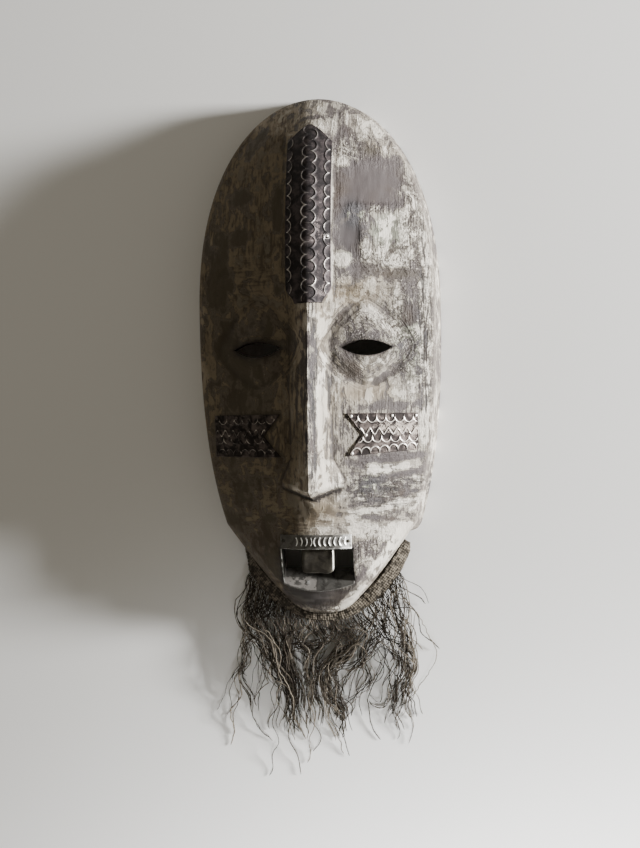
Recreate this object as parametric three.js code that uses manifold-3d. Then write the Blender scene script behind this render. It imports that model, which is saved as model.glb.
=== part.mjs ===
// A carved wooden face mask with sheet-metal ornaments and a beard of unravelled hemp cloth.
// Units are millimetres. The mask lies on its back rim with the hollow side down: +X is to the
// viewer's right of the face, +Y runs from the chin to the forehead and +Z points out of the face.
import * as THREE from 'three';
import { mergeVertices } from 'three/addons/utils/BufferGeometryUtils.js';
import Module from 'manifold-3d';

const wasm = await Module();
wasm.setup();

// Plan of the face. Its front edge is an oval that is widest just above the eyes.
const FACE_TOP_Y = 243.5;
const FACE_WIDEST_Y = 38;
const CHIN_Y = -248;
const FACE_HALF_WIDTH = 111.3;
const UPPER_OVAL = { power: 2.35, root: 2 };
const LOWER_OVAL = { power: 2.35, root: 2.6 };

// Below the cheeks the jaw is cut in from the oval to a blunt point, with a bevel along its edge.
const JAW_CUT = { fromY: -161, sharePerMm: 0.00427, most: 0.297 };
const JAW_BEVEL = { width: 10, fullWidthFrom: 32 };

// Heights above the back rim.
const SIDE_WALL_HEIGHT = 46;
const SIDE_DROP_TOP = 20;
const SIDE_DROP_CHIN = 26;
const CROWN_RISE = 41;
const CROWN_SIDE_POWER = 1.7;

// The side wall, the jaw ledge and the recess under it that holds the beard.
const RIM_FLARE = 4.5;
const RIM_THICKNESS = 10;
const WALL_THICKNESS = 11;
const EDGE_RADIUS = 3;
const LEDGE_THICKNESS = 7;
const RECESS_DEPTH = 5;
const RECESS_WALL = 9;
const JAW_TIP_Y = -171;

// Ridge down the middle: a keel on the forehead that turns into the nose.
const KEEL = { height: 8, halfWidth: 24, fadeTop: 232, fadeLength: 40 };
const NOSE = { rootY: 44, tipY: -129, height: 26, halfWidth: 19.5, crestShare: 0.45, crestDrop: 0.38 };
const NOSE_WINGS = { startY: -98, fullY: -118, halfWidth: 29.5, lift: 11, underside: 7 };

// Eyes: a sunk socket under the brow, a raised lid mound in it and a slit through the mound.
const EYE_X = 50.7;
const EYE_Y = 2.9;
const SOCKET = { depth: 6.5, x: 50, y: 14, halfWidth: 42, halfHeight: 46 };
const LID_MOUND = { height: 8.5, halfWidth: 36, up: 42, down: 33, power: 1.4 };
const BROW_GROOVE = { y: 74, depth: 1.8, halfHeight: 5, from: 32, to: 92 };
const EYE_SLIT = { halfLength: 23.3, up: 6.4, down: 7.8 };

// Mouth: a bulging muzzle, cut by a box-shaped opening whose floor slopes out to the lower lip.
const MUZZLE = { height: 7, y: -197, halfWidth: 50, halfHeight: 30 };
const MOUTH = { halfWidth: 34, topY: -181.3, floorBackY: -203, floorBackZ: 37.5 };
const LOWER_LIP = { frontY: -223.3, frontZ: 52.5 };

// Sheet metal and nails.
const METAL_THICKNESS = 1;
const GAP = 0.45;
const STRIP = { halfWidth: 21, apexY: 211, shoulderY: 194, bottomY: 42.5, cornerY: 57, bottomHalfWidth: 13 };
const CHEEK_PLATE_TOP = -57.5;
const RIGHT_PLATE = { side: 1, inner: 32.3, notch: 46, outer: 95.3, bottomInner: -96.5, bottomOuter: -91.5 };
const LEFT_PLATE = { side: -1, inner: 28.8, notch: 45.5, outer: 96, bottomInner: -96.8, bottomOuter: -96 };
const UPPER_LIP = { halfWidth: 33.2, top: -168.5, bottom: -181.8 };
const TOOTH = { x: 1.5, width: 30, bottomY: -204.5, back: 55, front: 65, cornerRadius: 5 };
const TACK = { radius: 1.5, height: 1.1, sides: 8 };

// Beard band and its unravelled fringe.
const BAND = { thickness: 2, underLedge: 4.4, reach: 14, topGap: 1.3, lowerZ: 9, tipShare: 0.4 };
const BAND_TAPER_Y = -200;

const clamp01 = (t) => Math.min(1, Math.max(0, t));
const mix = (a, b, t) => a + (b - a) * t;

function smooth(t) {
  const c = clamp01(t);
  return c * c * (3 - 2 * c);
}

// 0 on the widest line of the face and 1 at its top or at its chin.
function reach(y) {
  const end = y > FACE_WIDEST_Y ? FACE_TOP_Y : CHIN_Y;
  return clamp01((y - FACE_WIDEST_Y) / (end - FACE_WIDEST_Y));
}

function ovalHalfWidth(y) {
  const oval = y > FACE_WIDEST_Y ? UPPER_OVAL : LOWER_OVAL;
  return FACE_HALF_WIDTH * (1 - reach(y) ** oval.power) ** (1 / oval.root);
}

// Half width of the front edge: the oval, with the jaw cut in.
function frontHalfWidth(y) {
  const cut = Math.min(JAW_CUT.most, JAW_CUT.sharePerMm * Math.max(0, JAW_CUT.fromY - y));
  return ovalHalfWidth(y) * (1 - cut);
}

// The point of the front edge at y on the right side, moved outwards in plan by offset.
function edgePoint(y, offset) {
  if (y >= FACE_TOP_Y) return { x: 0, y: FACE_TOP_Y + offset };
  if (y <= CHIN_Y) return { x: 0, y: CHIN_Y - offset };
  const step = 0.01;
  const slope = (frontHalfWidth(y + step) - frontHalfWidth(y - step)) / (2 * step);
  const length = Math.hypot(1, slope);
  return { x: Math.max(0, frontHalfWidth(y) + offset / length), y: y - (offset * slope) / length };
}

function sideHeight(y) {
  const drop = y > FACE_WIDEST_Y ? SIDE_DROP_TOP * reach(y) ** 2 : SIDE_DROP_CHIN * reach(y) ** 2.2;
  return SIDE_WALL_HEIGHT - drop;
}

// The plain dome of the face, without any carved feature.
function domeHeight(x, y) {
  const r = reach(y);
  const crown = y > FACE_WIDEST_Y ? (1 - r ** 3) ** 0.7 : (1 - r ** 5) ** 0.6;
  const across = Math.min(1, Math.abs(x) / Math.max(ovalHalfWidth(y), 1e-6));
  const side = x === 0 ? 1 : 1 - across ** CROWN_SIDE_POWER;
  return sideHeight(y) + CROWN_RISE * crown * side;
}

// How far the bevel on the jaw's edge lies below the dome.
function bevelDepth(x, y) {
  const half = frontHalfWidth(y);
  const slope = frontHalfWidth(y + 0.5) - frontHalfWidth(y - 0.5);
  const fromEdge = (half - Math.abs(x)) / Math.hypot(1, slope);
  const width = Math.max(1, JAW_BEVEL.width * clamp01(half / JAW_BEVEL.fullWidthFrom));
  const edgeRise = domeHeight(half, y) - sideHeight(y);
  return edgeRise * clamp01(1 - fromEdge / width);
}

function ridgeHalfWidth(y) {
  if (y > NOSE.rootY + 10) return KEEL.halfWidth;
  if (y > NOSE.rootY - 6) return mix(NOSE.halfWidth, KEEL.halfWidth, smooth((y - NOSE.rootY + 6) / 16));
  const flare = clamp01((NOSE_WINGS.startY - y) / (NOSE_WINGS.startY - NOSE_WINGS.fullY));
  return mix(NOSE.halfWidth, NOSE_WINGS.halfWidth, flare);
}

// The keel is a plain roof shape. The nose has a narrow crest facet and a steeper flank on each side.
function ridgeHeight(x, y) {
  const across = Math.min(1, Math.abs(x) / ridgeHalfWidth(y));
  const down = clamp01((NOSE.rootY - y) / (NOSE.rootY - NOSE.tipY));
  const height = KEEL.height * smooth((KEEL.fadeTop - y) / KEEL.fadeLength)
    + (NOSE.height - KEEL.height) * down;
  const crest = 1 - (NOSE.crestDrop * across) / NOSE.crestShare;
  const flank = ((1 - NOSE.crestDrop) * (1 - across)) / (1 - NOSE.crestShare);
  const profile = mix(1 - across, Math.min(crest, flank), smooth((NOSE.rootY + 8 - y) / 30));
  const wing = clamp01(Math.abs(x) / NOSE_WINGS.halfWidth);
  const bottom = NOSE.tipY + NOSE_WINGS.lift * wing - NOSE_WINGS.underside;
  return height * profile * clamp01((y - bottom) / NOSE_WINGS.underside);
}

function eyeRelief(x, y) {
  const side = Math.abs(x);
  const r = ((side - SOCKET.x) / SOCKET.halfWidth) ** 2 + ((y - SOCKET.y) / SOCKET.halfHeight) ** 2;
  const up = y > EYE_Y ? LID_MOUND.up : LID_MOUND.down;
  const lid = (Math.abs(side - EYE_X) / LID_MOUND.halfWidth) ** LID_MOUND.power
    + (Math.abs(y - EYE_Y) / up) ** LID_MOUND.power;
  const along = smooth((side - BROW_GROOVE.from) / 10) * smooth((BROW_GROOVE.to - side) / 10);
  const groove = BROW_GROOVE.depth * along * Math.exp(-(((y - BROW_GROOVE.y) / BROW_GROOVE.halfHeight) ** 2));
  return LID_MOUND.height * smooth(1 - lid) - SOCKET.depth * Math.exp(-(r ** 2)) - groove;
}

function muzzleHeight(x, y) {
  const r = (x / MUZZLE.halfWidth) ** 2 + ((y - MUZZLE.y) / MUZZLE.halfHeight) ** 2;
  return MUZZLE.height * Math.exp(-(r ** 1.5));
}

// Height of the carved face over the plan point (x, y).
function faceHeight(x, y) {
  const dome = domeHeight(x, y) - bevelDepth(x, y);
  return dome + ridgeHeight(x, y) + eyeRelief(x, y) + muzzleHeight(x, y);
}

// A closed geometry from points [x, y, z] and faces that list point indices. Equal points are
// merged and faces that fold to nothing are dropped.
function closedGeometry(points, faces) {
  const soup = new THREE.BufferGeometry();
  soup.setAttribute('position', new THREE.Float32BufferAttribute(points.flat(), 3));
  const triangles = faces.flatMap((f) => f.slice(2).map((_, k) => [f[0], f[k + 1], f[k + 2]]));
  soup.setIndex(triangles.flat());
  const merged = mergeVertices(soup, 1e-3);
  const index = Array.from(merged.index.array);
  const kept = [];
  for (let k = 0; k < index.length; k += 3) {
    const [a, b, c] = index.slice(k, k + 3);
    if (a !== b && b !== c && c !== a) kept.push(a, b, c);
  }
  merged.setIndex(kept);
  return merged;
}

// A body swept through closed sections of equal length, with flat or folded ends.
function loft(sections, capped) {
  const n = sections[0].length;
  const points = sections.flat();
  const faces = [];
  for (let i = 0; i + 1 < sections.length; i += 1) {
    for (let k = 0; k < n; k += 1) {
      const next = (k + 1) % n;
      faces.push([i * n + k, i * n + next, (i + 1) * n + next, (i + 1) * n + k]);
    }
  }
  if (capped) {
    const last = (sections.length - 1) * n;
    faces.push(sections[0].map((_, k) => n - 1 - k));
    faces.push(sections[0].map((_, k) => last + k));
  }
  return closedGeometry(points, faces);
}

// A plate of rows by columns of points, given by its upper and lower point at (row, column).
function plate(rows, columns, upper, lower) {
  const cells = rows.flatMap((r) => columns.map((c) => [r, c]));
  const points = cells.map(([r, c]) => upper(r, c)).concat(cells.map(([r, c]) => lower(r, c)));
  const at = (i, j) => i * columns.length + j;
  const faces = [];
  for (let i = 0; i + 1 < rows.length; i += 1) {
    for (let j = 0; j + 1 < columns.length; j += 1) {
      faces.push([at(i, j), at(i, j + 1), at(i + 1, j + 1), at(i + 1, j)]);
      faces.push([at(i, j), at(i + 1, j), at(i + 1, j + 1), at(i, j + 1)].map((k) => k + cells.length));
    }
  }
  const border = [];
  columns.forEach((_, j) => border.push(at(0, j)));
  rows.slice(1).forEach((_, i) => border.push(at(i + 1, columns.length - 1)));
  columns.slice(1).forEach((_, j) => border.push(at(rows.length - 1, columns.length - 2 - j)));
  rows.slice(2).forEach((_, i) => border.push(at(rows.length - 2 - i, 0)));
  border.forEach((k, i) => {
    const next = border[(i + 1) % border.length];
    faces.push([next, k, k + cells.length, next + cells.length]);
  });
  return closedGeometry(points, faces);
}

function solidOf(geometry) {
  const plain = new THREE.BufferGeometry();
  plain.setAttribute('position', geometry.getAttribute('position').clone());
  if (geometry.index) plain.setIndex(geometry.index.clone());
  const merged = mergeVertices(plain, 1e-4);
  return new wasm.Manifold(new wasm.Mesh({
    numProp: 3,
    vertProperties: new Float32Array(merged.getAttribute('position').array),
    triVerts: new Uint32Array(merged.index.array),
  }));
}

function geometryOf(solid) {
  const mesh = solid.getMesh();
  const geometry = new THREE.BufferGeometry();
  geometry.setAttribute('position', new THREE.Float32BufferAttribute(mesh.vertProperties, 3));
  geometry.setIndex(Array.from(mesh.triVerts));
  return geometry;
}

// Evenly spaced values from the first to the last, both included.
function spaced(from, to, count) {
  return Array.from({ length: count + 1 }, (_, i) => from + ((to - from) * i) / count);
}

// Heights at which the shell is sectioned: close together where the carving is sharp.
function shellStations() {
  const runs = [
    [238, 195, 4], [195, 90, 7], [90, 58, 3], [58, 38, 4], [38, -26, 6], [-26, -98, 5], [-98, -118, 3],
    [-118, -137, 5], [-137, -172, 4], [-172, -184, 4], [-184, -226, 6], [-226, -238, 2],
  ];
  const middle = runs.flatMap(([from, to, count]) => spaced(from, to, count).slice(0, -1));
  const chin = [-10, -5, -2, -0.5, 0].map((step) => CHIN_Y - step);
  return [FACE_TOP_Y, FACE_TOP_Y - 0.6, FACE_TOP_Y - 2.2, ...middle, ...chin];
}

// Half of the shell's section at y, from the middle of the face out over the edge, down the side
// wall, under the rim and up inside the hollow to its middle.
function halfSection(y) {
  const recess = smooth((JAW_TIP_Y + 6 - y) / 12);
  const flare = RIM_FLARE * (1 - recess) - RECESS_DEPTH * recess;
  const inset = RECESS_DEPTH * recess;
  const high = sideHeight(y);
  const points = [];
  const add = (offset, z) => {
    const p = edgePoint(y, offset);
    points.push([p.x, p.y, z]);
  };
  const front = edgePoint(y, -EDGE_RADIUS);
  const ridge = Math.min(ridgeHalfWidth(front.y), front.x * 0.5);
  const onFace = (x) => points.push([x, front.y, faceHeight(x, front.y)]);
  [0, 0.225, NOSE.crestShare, 0.72].forEach((share) => onFace(ridge * share));
  spaced(ridge, front.x, 10).forEach(onFace);
  add(-EDGE_RADIUS * 0.3, high + 0.2);
  add(0, high - EDGE_RADIUS);
  add(0, high - LEDGE_THICKNESS);
  add(-inset, high - LEDGE_THICKNESS - 0.4);
  add(flare, 0);
  const inner = mix(RIM_FLARE - RIM_THICKNESS, -RECESS_DEPTH - RECESS_WALL, smooth((-120 - y) / 60));
  add(inner, 0);
  add(inner - 3, high - 12);
  const hollow = edgePoint(y, inner - 6);
  [1, 0.85, 0.65, 0.4, 0.15, 0].forEach((share) => {
    const x = hollow.x * share;
    points.push([x, hollow.y, domeHeight(x, hollow.y) - WALL_THICKNESS]);
  });
  return points;
}

function almondPrism() {
  const shape = new THREE.Shape();
  shape.moveTo(-EYE_SLIT.halfLength, 0);
  shape.quadraticCurveTo(0, -2 * EYE_SLIT.down, EYE_SLIT.halfLength, 0);
  shape.quadraticCurveTo(0, 2 * EYE_SLIT.up, -EYE_SLIT.halfLength, 0);
  return new THREE.ExtrudeGeometry(shape, { depth: 70, bevelEnabled: false, curveSegments: 7 });
}

// A polygon of (y, z) points drawn out along X between two places.
function acrossX(outline, from, to) {
  const shape = new THREE.Shape(outline.map(([y, z]) => new THREE.Vector2(y, z)));
  const geometry = new THREE.ExtrudeGeometry(shape, { depth: to - from, bevelEnabled: false });
  const turn = new THREE.Matrix4().makeBasis(
    new THREE.Vector3(0, 1, 0),
    new THREE.Vector3(0, 0, 1),
    new THREE.Vector3(1, 0, 0),
  );
  return geometry.applyMatrix4(turn).translate(from, 0, 0);
}

function maskShell() {
  const sections = shellStations().map((y) => {
    const half = halfSection(y);
    const mirrored = half.slice(1, -1).reverse().map(([x, py, z]) => [-x, py, z]);
    return half.concat(mirrored).reverse();
  });
  let solid = solidOf(loft(sections, false));
  for (const side of [-1, 1]) {
    solid = solid.subtract(solidOf(almondPrism().translate(side * EYE_X, EYE_Y, 40)));
  }
  const opening = [
    [MOUTH.topY, 100],
    [MOUTH.topY, 10],
    [MOUTH.floorBackY, 10],
    [MOUTH.floorBackY, MOUTH.floorBackZ],
    [LOWER_LIP.frontY, LOWER_LIP.frontZ],
    [LOWER_LIP.frontY, 100],
  ];
  solid = solid.subtract(solidOf(acrossX(opening, -MOUTH.halfWidth, MOUTH.halfWidth)));
  return geometryOf(solid);
}

// A sheet that follows the face at (x, y), lying on it with a hairline gap.
function faceSheet(rows, columns, place) {
  const at = (lift) => (r, c) => {
    const [x, y] = place(r, c);
    return [x, y, faceHeight(x, y) + lift];
  };
  return plate(rows, columns, at(GAP + METAL_THICKNESS), at(GAP));
}

function stripHalfWidth(y) {
  const top = clamp01((STRIP.apexY - y) / (STRIP.apexY - STRIP.shoulderY));
  const corner = smooth((STRIP.cornerY - y) / (STRIP.cornerY - STRIP.bottomY));
  return mix(1.5, STRIP.halfWidth, top ** 0.8) - (STRIP.halfWidth - STRIP.bottomHalfWidth) * corner;
}

function foreheadStrip() {
  const rows = [STRIP.bottomY, 47, 52, ...spaced(STRIP.cornerY, STRIP.shoulderY, 7), 203, STRIP.apexY];
  const columns = [-1, -0.82, -0.5, -0.25, 0, 0.25, 0.5, 0.82, 1];
  return faceSheet(rows, columns, (y, share) => [share * stripHalfWidth(y), y]);
}

// A cheek plate runs from its outer end to a swallow-tail notch on the nose side.
function cheekPlate({ side, inner, notch, outer, bottomInner, bottomOuter }) {
  const rows = side > 0 ? spaced(0, 1, 4) : spaced(1, 0, 4);
  return faceSheet(rows, spaced(0, 1, 8), (up, out) => {
    const tail = mix(notch, inner, Math.abs(2 * up - 1));
    const bottom = mix(bottomInner, bottomOuter, out);
    return [side * mix(tail, outer, out), mix(bottom, CHEEK_PLATE_TOP, up)];
  });
}

function upperLipStrip() {
  const rows = spaced(UPPER_LIP.bottom, UPPER_LIP.top, 2);
  return faceSheet(rows, spaced(-1, 1, 8), (y, share) => [share * UPPER_LIP.halfWidth, y]);
}

// How far the sloping lower lip plate runs at x until it stands just proud of the wood.
function lipRun(x) {
  const out = LOWER_LIP.frontY - MOUTH.floorBackY;
  const rise = LOWER_LIP.frontZ - MOUTH.floorBackZ;
  const step = new THREE.Vector2(out, rise).normalize();
  let run = 5;
  while (MOUTH.floorBackZ + step.y * run < faceHeight(x, MOUTH.floorBackY + step.x * run) + 2) {
    run += 0.25;
  }
  return { run, step };
}

// The lower lip is one folded sheet: the sloping floor of the mouth and its left jamb.
function lowerLipPlate() {
  const half = MOUTH.halfWidth - 0.6;
  const onSlope = (lift) => (share, x) => {
    const { run, step } = lipRun(x);
    const y = MOUTH.floorBackY + step.x * run * share + step.y * lift;
    return [x, y, MOUTH.floorBackZ + step.y * run * share - step.x * lift];
  };
  const floor = plate([1, 0.5, 0], spaced(-half, half, 10), onSlope(GAP + METAL_THICKNESS), onSlope(GAP));
  const { run, step } = lipRun(-half);
  const frontY = MOUTH.floorBackY + step.x * run;
  const frontZ = MOUTH.floorBackZ + step.y * run;
  const top = MOUTH.topY - 1;
  const jamb = acrossX([
    [MOUTH.floorBackY + 0.6, MOUTH.floorBackZ + 0.6],
    [frontY + 0.6, frontZ + 0.6],
    [mix(frontY, top, 0.5), faceHeight(-half, mix(frontY, top, 0.5)) + 1],
    [top, faceHeight(-half, top) + 0.2],
    [top, MOUTH.floorBackZ + 6],
  ].reverse(), -half, -half + METAL_THICKNESS);
  return geometryOf(solidOf(floor).add(solidOf(jamb)));
}

function toothBlock() {
  const half = TOOTH.width / 2;
  const r = TOOTH.cornerRadius;
  const shape = new THREE.Shape();
  shape.moveTo(-half, MOUTH.topY - GAP);
  shape.lineTo(-half, TOOTH.bottomY + r);
  shape.quadraticCurveTo(-half, TOOTH.bottomY, -half + r, TOOTH.bottomY);
  shape.lineTo(half - r, TOOTH.bottomY);
  shape.quadraticCurveTo(half, TOOTH.bottomY, half, TOOTH.bottomY + r);
  shape.lineTo(half, MOUTH.topY - GAP);
  const depth = TOOTH.front - TOOTH.back;
  const block = new THREE.ExtrudeGeometry(shape, { depth, bevelEnabled: false, curveSegments: 4 });
  return block.translate(TOOTH.x, 0, TOOTH.back);
}

function tackHead() {
  const profile = [
    new THREE.Vector2(0, 0),
    new THREE.Vector2(TACK.radius, 0),
    new THREE.Vector2(TACK.radius * 0.75, TACK.height * 0.65),
    new THREE.Vector2(0, TACK.height),
  ];
  return new THREE.LatheGeometry(profile, TACK.sides).rotateX(Math.PI / 2);
}

// The line along which the face runs down away from the middle gives each tack its tilt.
function tackOn(x, y) {
  const step = 1.5;
  const normal = new THREE.Vector3(
    faceHeight(x - step, y) - faceHeight(x + step, y),
    faceHeight(x, y - step) - faceHeight(x, y + step),
    2 * step,
  ).normalize();
  const turn = new THREE.Quaternion().setFromUnitVectors(new THREE.Vector3(0, 0, 1), normal);
  const seat = new THREE.Vector3(x, y, faceHeight(x, y) + GAP + METAL_THICKNESS);
  seat.addScaledVector(normal, GAP + 0.25);
  return { turn, seat };
}

// One section of the beard band: it starts in the recess under the ledge and slopes out and down.
function bandSection(y, side) {
  const share = mix(BAND.tipShare, 1, smooth((JAW_TIP_Y + 2 - y) / (JAW_TIP_Y - BAND_TAPER_Y)));
  const topZ = sideHeight(y) - LEDGE_THICKNESS - BAND.topGap;
  const lowZ = mix(topZ - 2, BAND.lowerZ, share);
  const inner = edgePoint(y, -BAND.underLedge);
  const outer = edgePoint(y, BAND.reach * share);
  const middle = edgePoint(y, mix(-BAND.underLedge, BAND.reach * share, 0.45));
  const middleZ = mix(topZ, lowZ, 0.62);
  const line = [[inner, topZ], [middle, middleZ], [outer, lowZ]];
  const upper = line.map(([p, z]) => [side * p.x, p.y, z]).reverse();
  const lower = line.map(([p, z]) => [side * p.x, p.y, z - BAND.thickness]);
  return upper.concat(lower);
}

function beardBand() {
  const right = [JAW_TIP_Y - 6, -183, -191, -200, -210, -218, -226, -234, -240.5, -244.8, -247, -247.8];
  const sections = right.map((y) => bandSection(y, 1));
  sections.push(bandSection(CHIN_Y, 1));
  right.reverse().forEach((y) => sections.push(bandSection(y, -1)));
  return loft(sections, true);
}

// Locks of the fringe, each a flat tapering body that starts at the lower edge of the band and
// lies on the floor. It hangs from the jaw edge at (side, jawY) and its route goes on as plan
// points. Width and height are given at the root and at the tip.
const lock = (side, jawY, width, height, route) => ({ side, jawY, width, height, route });
const LOCKS = [
  lock(-1, -190, [8, 4], [8, 3], [[-92, -235], [-96, -300], [-103, -335], [-112, -346]]),
  lock(-1, -215, [20, 5], [11, 3], [[-77, -260], [-72, -310], [-65, -355], [-60, -410]]),
  lock(-1, -233, [20, 5], [10, 3], [[-50, -284], [-38, -320], [-32, -360], [-27, -404]]),
  lock(-1, -245, [16, 5], [10, 3], [[-12, -286], [-15, -310], [-19, -335], [-12, -364]]),
  lock(1, -247.8, [26, 6], [12, 3], [[29, -285], [19, -306], [11, -333], [19, -391]]),
  lock(1, -240, [14, 5], [9, 3], [[51, -281], [54, -300], [48, -324], [52, -346]]),
  lock(1, -223, [24, 6], [11, 3], [[74, -265], [78, -297], [75, -330], [60, -380]]),
  lock(1, -198, [8, 4], [8, 3], [[99, -242], [105, -275], [103, -310], [88, -350]]),
];
const LOCK_STEPS = 8;

function fringeLock({ side, jawY, width, height, route }) {
  const start = [2, 8].map((past) => edgePoint(jawY, BAND.reach + past)).map((p) => [side * p.x, p.y]);
  const stops = start.concat(route).map(([x, y]) => new THREE.Vector3(x, y, 0));
  const curve = new THREE.CatmullRomCurve3(stops);
  const sections = spaced(0, 1, LOCK_STEPS).map((t) => {
    const p = curve.getPoint(t);
    const along = curve.getTangent(t);
    const half = mix(width[0], width[1], t) / 2;
    const tall = mix(height[0], height[1], t);
    const outline = [[-1, 0], [1, 0], [1, 0.5], [0.45, 1], [-0.45, 1], [-1, 0.5]];
    return outline.map(([u, v]) => [p.x - along.y * u * half, p.y + along.x * u * half, v * tall]);
  });
  return loft(sections, true);
}

const WOOD = { color: 0x9a8f83, roughness: 0.85, metalness: 0 };
const DARK_METAL = { color: 0x55494b, roughness: 0.5, metalness: 0.8 };
const PALE_METAL = { color: 0x9c948b, roughness: 0.42, metalness: 0.9 };
const TOOTH_METAL = { color: 0x4b4740, roughness: 0.45, metalness: 0.7 };
const HEMP = { color: 0x6a5d4c, roughness: 0.95, metalness: 0 };

function named(name, geometry, look) {
  const mesh = new THREE.Mesh(geometry, new THREE.MeshStandardMaterial(look));
  mesh.name = name;
  return mesh;
}

const mask = new THREE.Group();
mask.add(named('mask_shell', maskShell(), WOOD));
mask.add(named('forehead_strip', foreheadStrip(), DARK_METAL));
mask.add(named('cheek_plate_right', cheekPlate(RIGHT_PLATE), DARK_METAL));
mask.add(named('cheek_plate_left', cheekPlate(LEFT_PLATE), DARK_METAL));
mask.add(named('upper_lip_strip', upperLipStrip(), PALE_METAL));
mask.add(named('lower_lip_plate', lowerLipPlate(), PALE_METAL));
mask.add(named('tooth', toothBlock(), TOOTH_METAL));

// Tacks: five in each cheek plate, one in the forehead strip and two in the upper lip.
const CHEEK_TACKS = [[36, -60], [72, -60], [93, -60], [48.5, -77.5], [36, -94]];
const tackPlaces = [
  ['tack_forehead', 17.5, 103],
  ['tack_lip_left', -30, -174.5],
  ['tack_lip_right', 30, -174.5],
];
for (const [side, word] of [[1, 'right'], [-1, 'left']]) {
  CHEEK_TACKS.forEach(([x, y], i) => tackPlaces.push([`tack_${word}_${i + 1}`, side * x, y]));
}
for (const [name, x, y] of tackPlaces) {
  const { turn, seat } = tackOn(x, y);
  const tack = named(name, tackHead(), PALE_METAL);
  tack.quaternion.copy(turn);
  tack.position.copy(seat);
  mask.add(tack);
}

mask.add(named('beard_band', beardBand(), HEMP));
LOCKS.forEach((one, i) => mask.add(named(`fringe_lock_${i + 1}`, fringeLock(one), HEMP)));

// The origin is under the middle of the whole object, on the floor.
const bounds = new THREE.Box3().setFromObject(mask);
mask.position.set(-(bounds.min.x + bounds.max.x) / 2, -(bounds.min.y + bounds.max.y) / 2, 0);

const object = new THREE.Group();
object.add(mask);

export default object;
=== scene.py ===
# %% [markdown]
# # A carved mask with metal ornaments and a hemp beard
# The real object is one thin wooden shell, painted with white clay and nailed over with embossed
# sheet metal. A strip of hemp cloth hangs under its jaw and is unravelled into a beard. The mask
# can't stand, so it lies on its back rim and the camera looks down on it. Every piece is made here
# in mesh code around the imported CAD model, which stays where it is.

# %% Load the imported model
import math

import bmesh
import bpy
import numpy as np
from mathutils import Matrix, Vector


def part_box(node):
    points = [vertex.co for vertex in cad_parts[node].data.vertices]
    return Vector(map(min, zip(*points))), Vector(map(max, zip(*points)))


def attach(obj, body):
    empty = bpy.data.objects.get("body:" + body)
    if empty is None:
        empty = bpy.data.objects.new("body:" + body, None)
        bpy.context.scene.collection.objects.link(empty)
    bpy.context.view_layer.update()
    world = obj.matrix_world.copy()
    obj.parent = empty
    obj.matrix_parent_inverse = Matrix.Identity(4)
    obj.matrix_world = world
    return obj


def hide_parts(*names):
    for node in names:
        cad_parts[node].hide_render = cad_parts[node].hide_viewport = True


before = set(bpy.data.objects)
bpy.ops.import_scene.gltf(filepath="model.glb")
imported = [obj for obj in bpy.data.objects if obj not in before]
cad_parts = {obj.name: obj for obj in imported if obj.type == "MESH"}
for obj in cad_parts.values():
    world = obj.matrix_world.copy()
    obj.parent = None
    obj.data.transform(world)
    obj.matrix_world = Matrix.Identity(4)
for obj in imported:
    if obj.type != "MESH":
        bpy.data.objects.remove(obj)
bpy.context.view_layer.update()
scene = bpy.context.scene

# %% [markdown]
# ## One place for everything
# The carving is drawn in millimetres in the mask's own plan: x to the right of the face, y up to
# the forehead and z out of the face, with the eyes near y = 0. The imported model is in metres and
# its origin is under the whole object, so one small function turns plan points into frame points.

# %% From the mask's plan to the frame
FACE_TOP_Y = 243.5
RIM_FLARE = 4.5  # how far the back rim stands out past the front edge, mm

_, shell_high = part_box("mask_shell")
frame_shift = np.array([0.0, shell_high.y * 1000 - FACE_TOP_Y - RIM_FLARE, 0.0])


def to_frame(points):
    """Plan points in millimetres as frame points in metres."""
    return (np.asarray(points, float) + frame_shift) / 1000


def to_plan(points):
    """Frame points in metres as plan points in millimetres."""
    return np.asarray(points, float) * 1000 - frame_shift


print("the plan's origin is at", np.round(frame_shift, 3).tolist(), "mm in the frame")

# %% [markdown]
# ## The camera
# The photograph was taken from about 1.2 m, a little to the right of the mask, and turned a
# little. A camera needs three axes: where its picture's right and up point, and where it looks.
# They are worked out from the two angles, so that the lying mask fills the picture as in the photo.

# %% Camera
CAMERA_DISTANCE = 1200.0
CAMERA_YAW = math.radians(8)
CAMERA_ROLL = math.radians(0.9)
MASK_IN_VIEW = (2.3, 66.8)  # the plan's origin right of and above the picture's middle, mm
VIEW_HEIGHT = 826.5  # what the picture's height covers at the rim, mm

out = Vector((math.sin(CAMERA_YAW), 0, math.cos(CAMERA_YAW)))
level = Vector((math.cos(CAMERA_YAW), 0, -math.sin(CAMERA_YAW)))
right = level * math.cos(CAMERA_ROLL) - Vector((0, 1, 0)) * math.sin(CAMERA_ROLL)
up = level * math.sin(CAMERA_ROLL) + Vector((0, 1, 0)) * math.cos(CAMERA_ROLL)
seen_middle = right * -MASK_IN_VIEW[0] + up * -MASK_IN_VIEW[1]
eye_point = Vector(to_frame(seen_middle + out * CAMERA_DISTANCE))

camera_data = bpy.data.cameras.new("camera")
camera_data.sensor_width = 36
camera_data.lens = 36 * CAMERA_DISTANCE / VIEW_HEIGHT
camera_data.clip_end = 20
camera = bpy.data.objects.new("camera", camera_data)
scene.collection.objects.link(camera)
camera.matrix_world = Matrix.Translation(eye_point) @ Matrix((right, up, out)).transposed().to_4x4()
scene.camera = camera
print("camera at", np.round(eye_point, 3).tolist(), "with a lens of", round(camera_data.lens, 2), "mm")

# %% [markdown]
# ## The form of the carving
# A carver blocks out a low dome, cuts the jaw straight towards the chin and planes a bevel on its
# edge. It could be sculpted, but a formula for the height over each plan point can be measured and
# changed. These are the heights that the CAD solid was made with, so both shells lie together.

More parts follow.
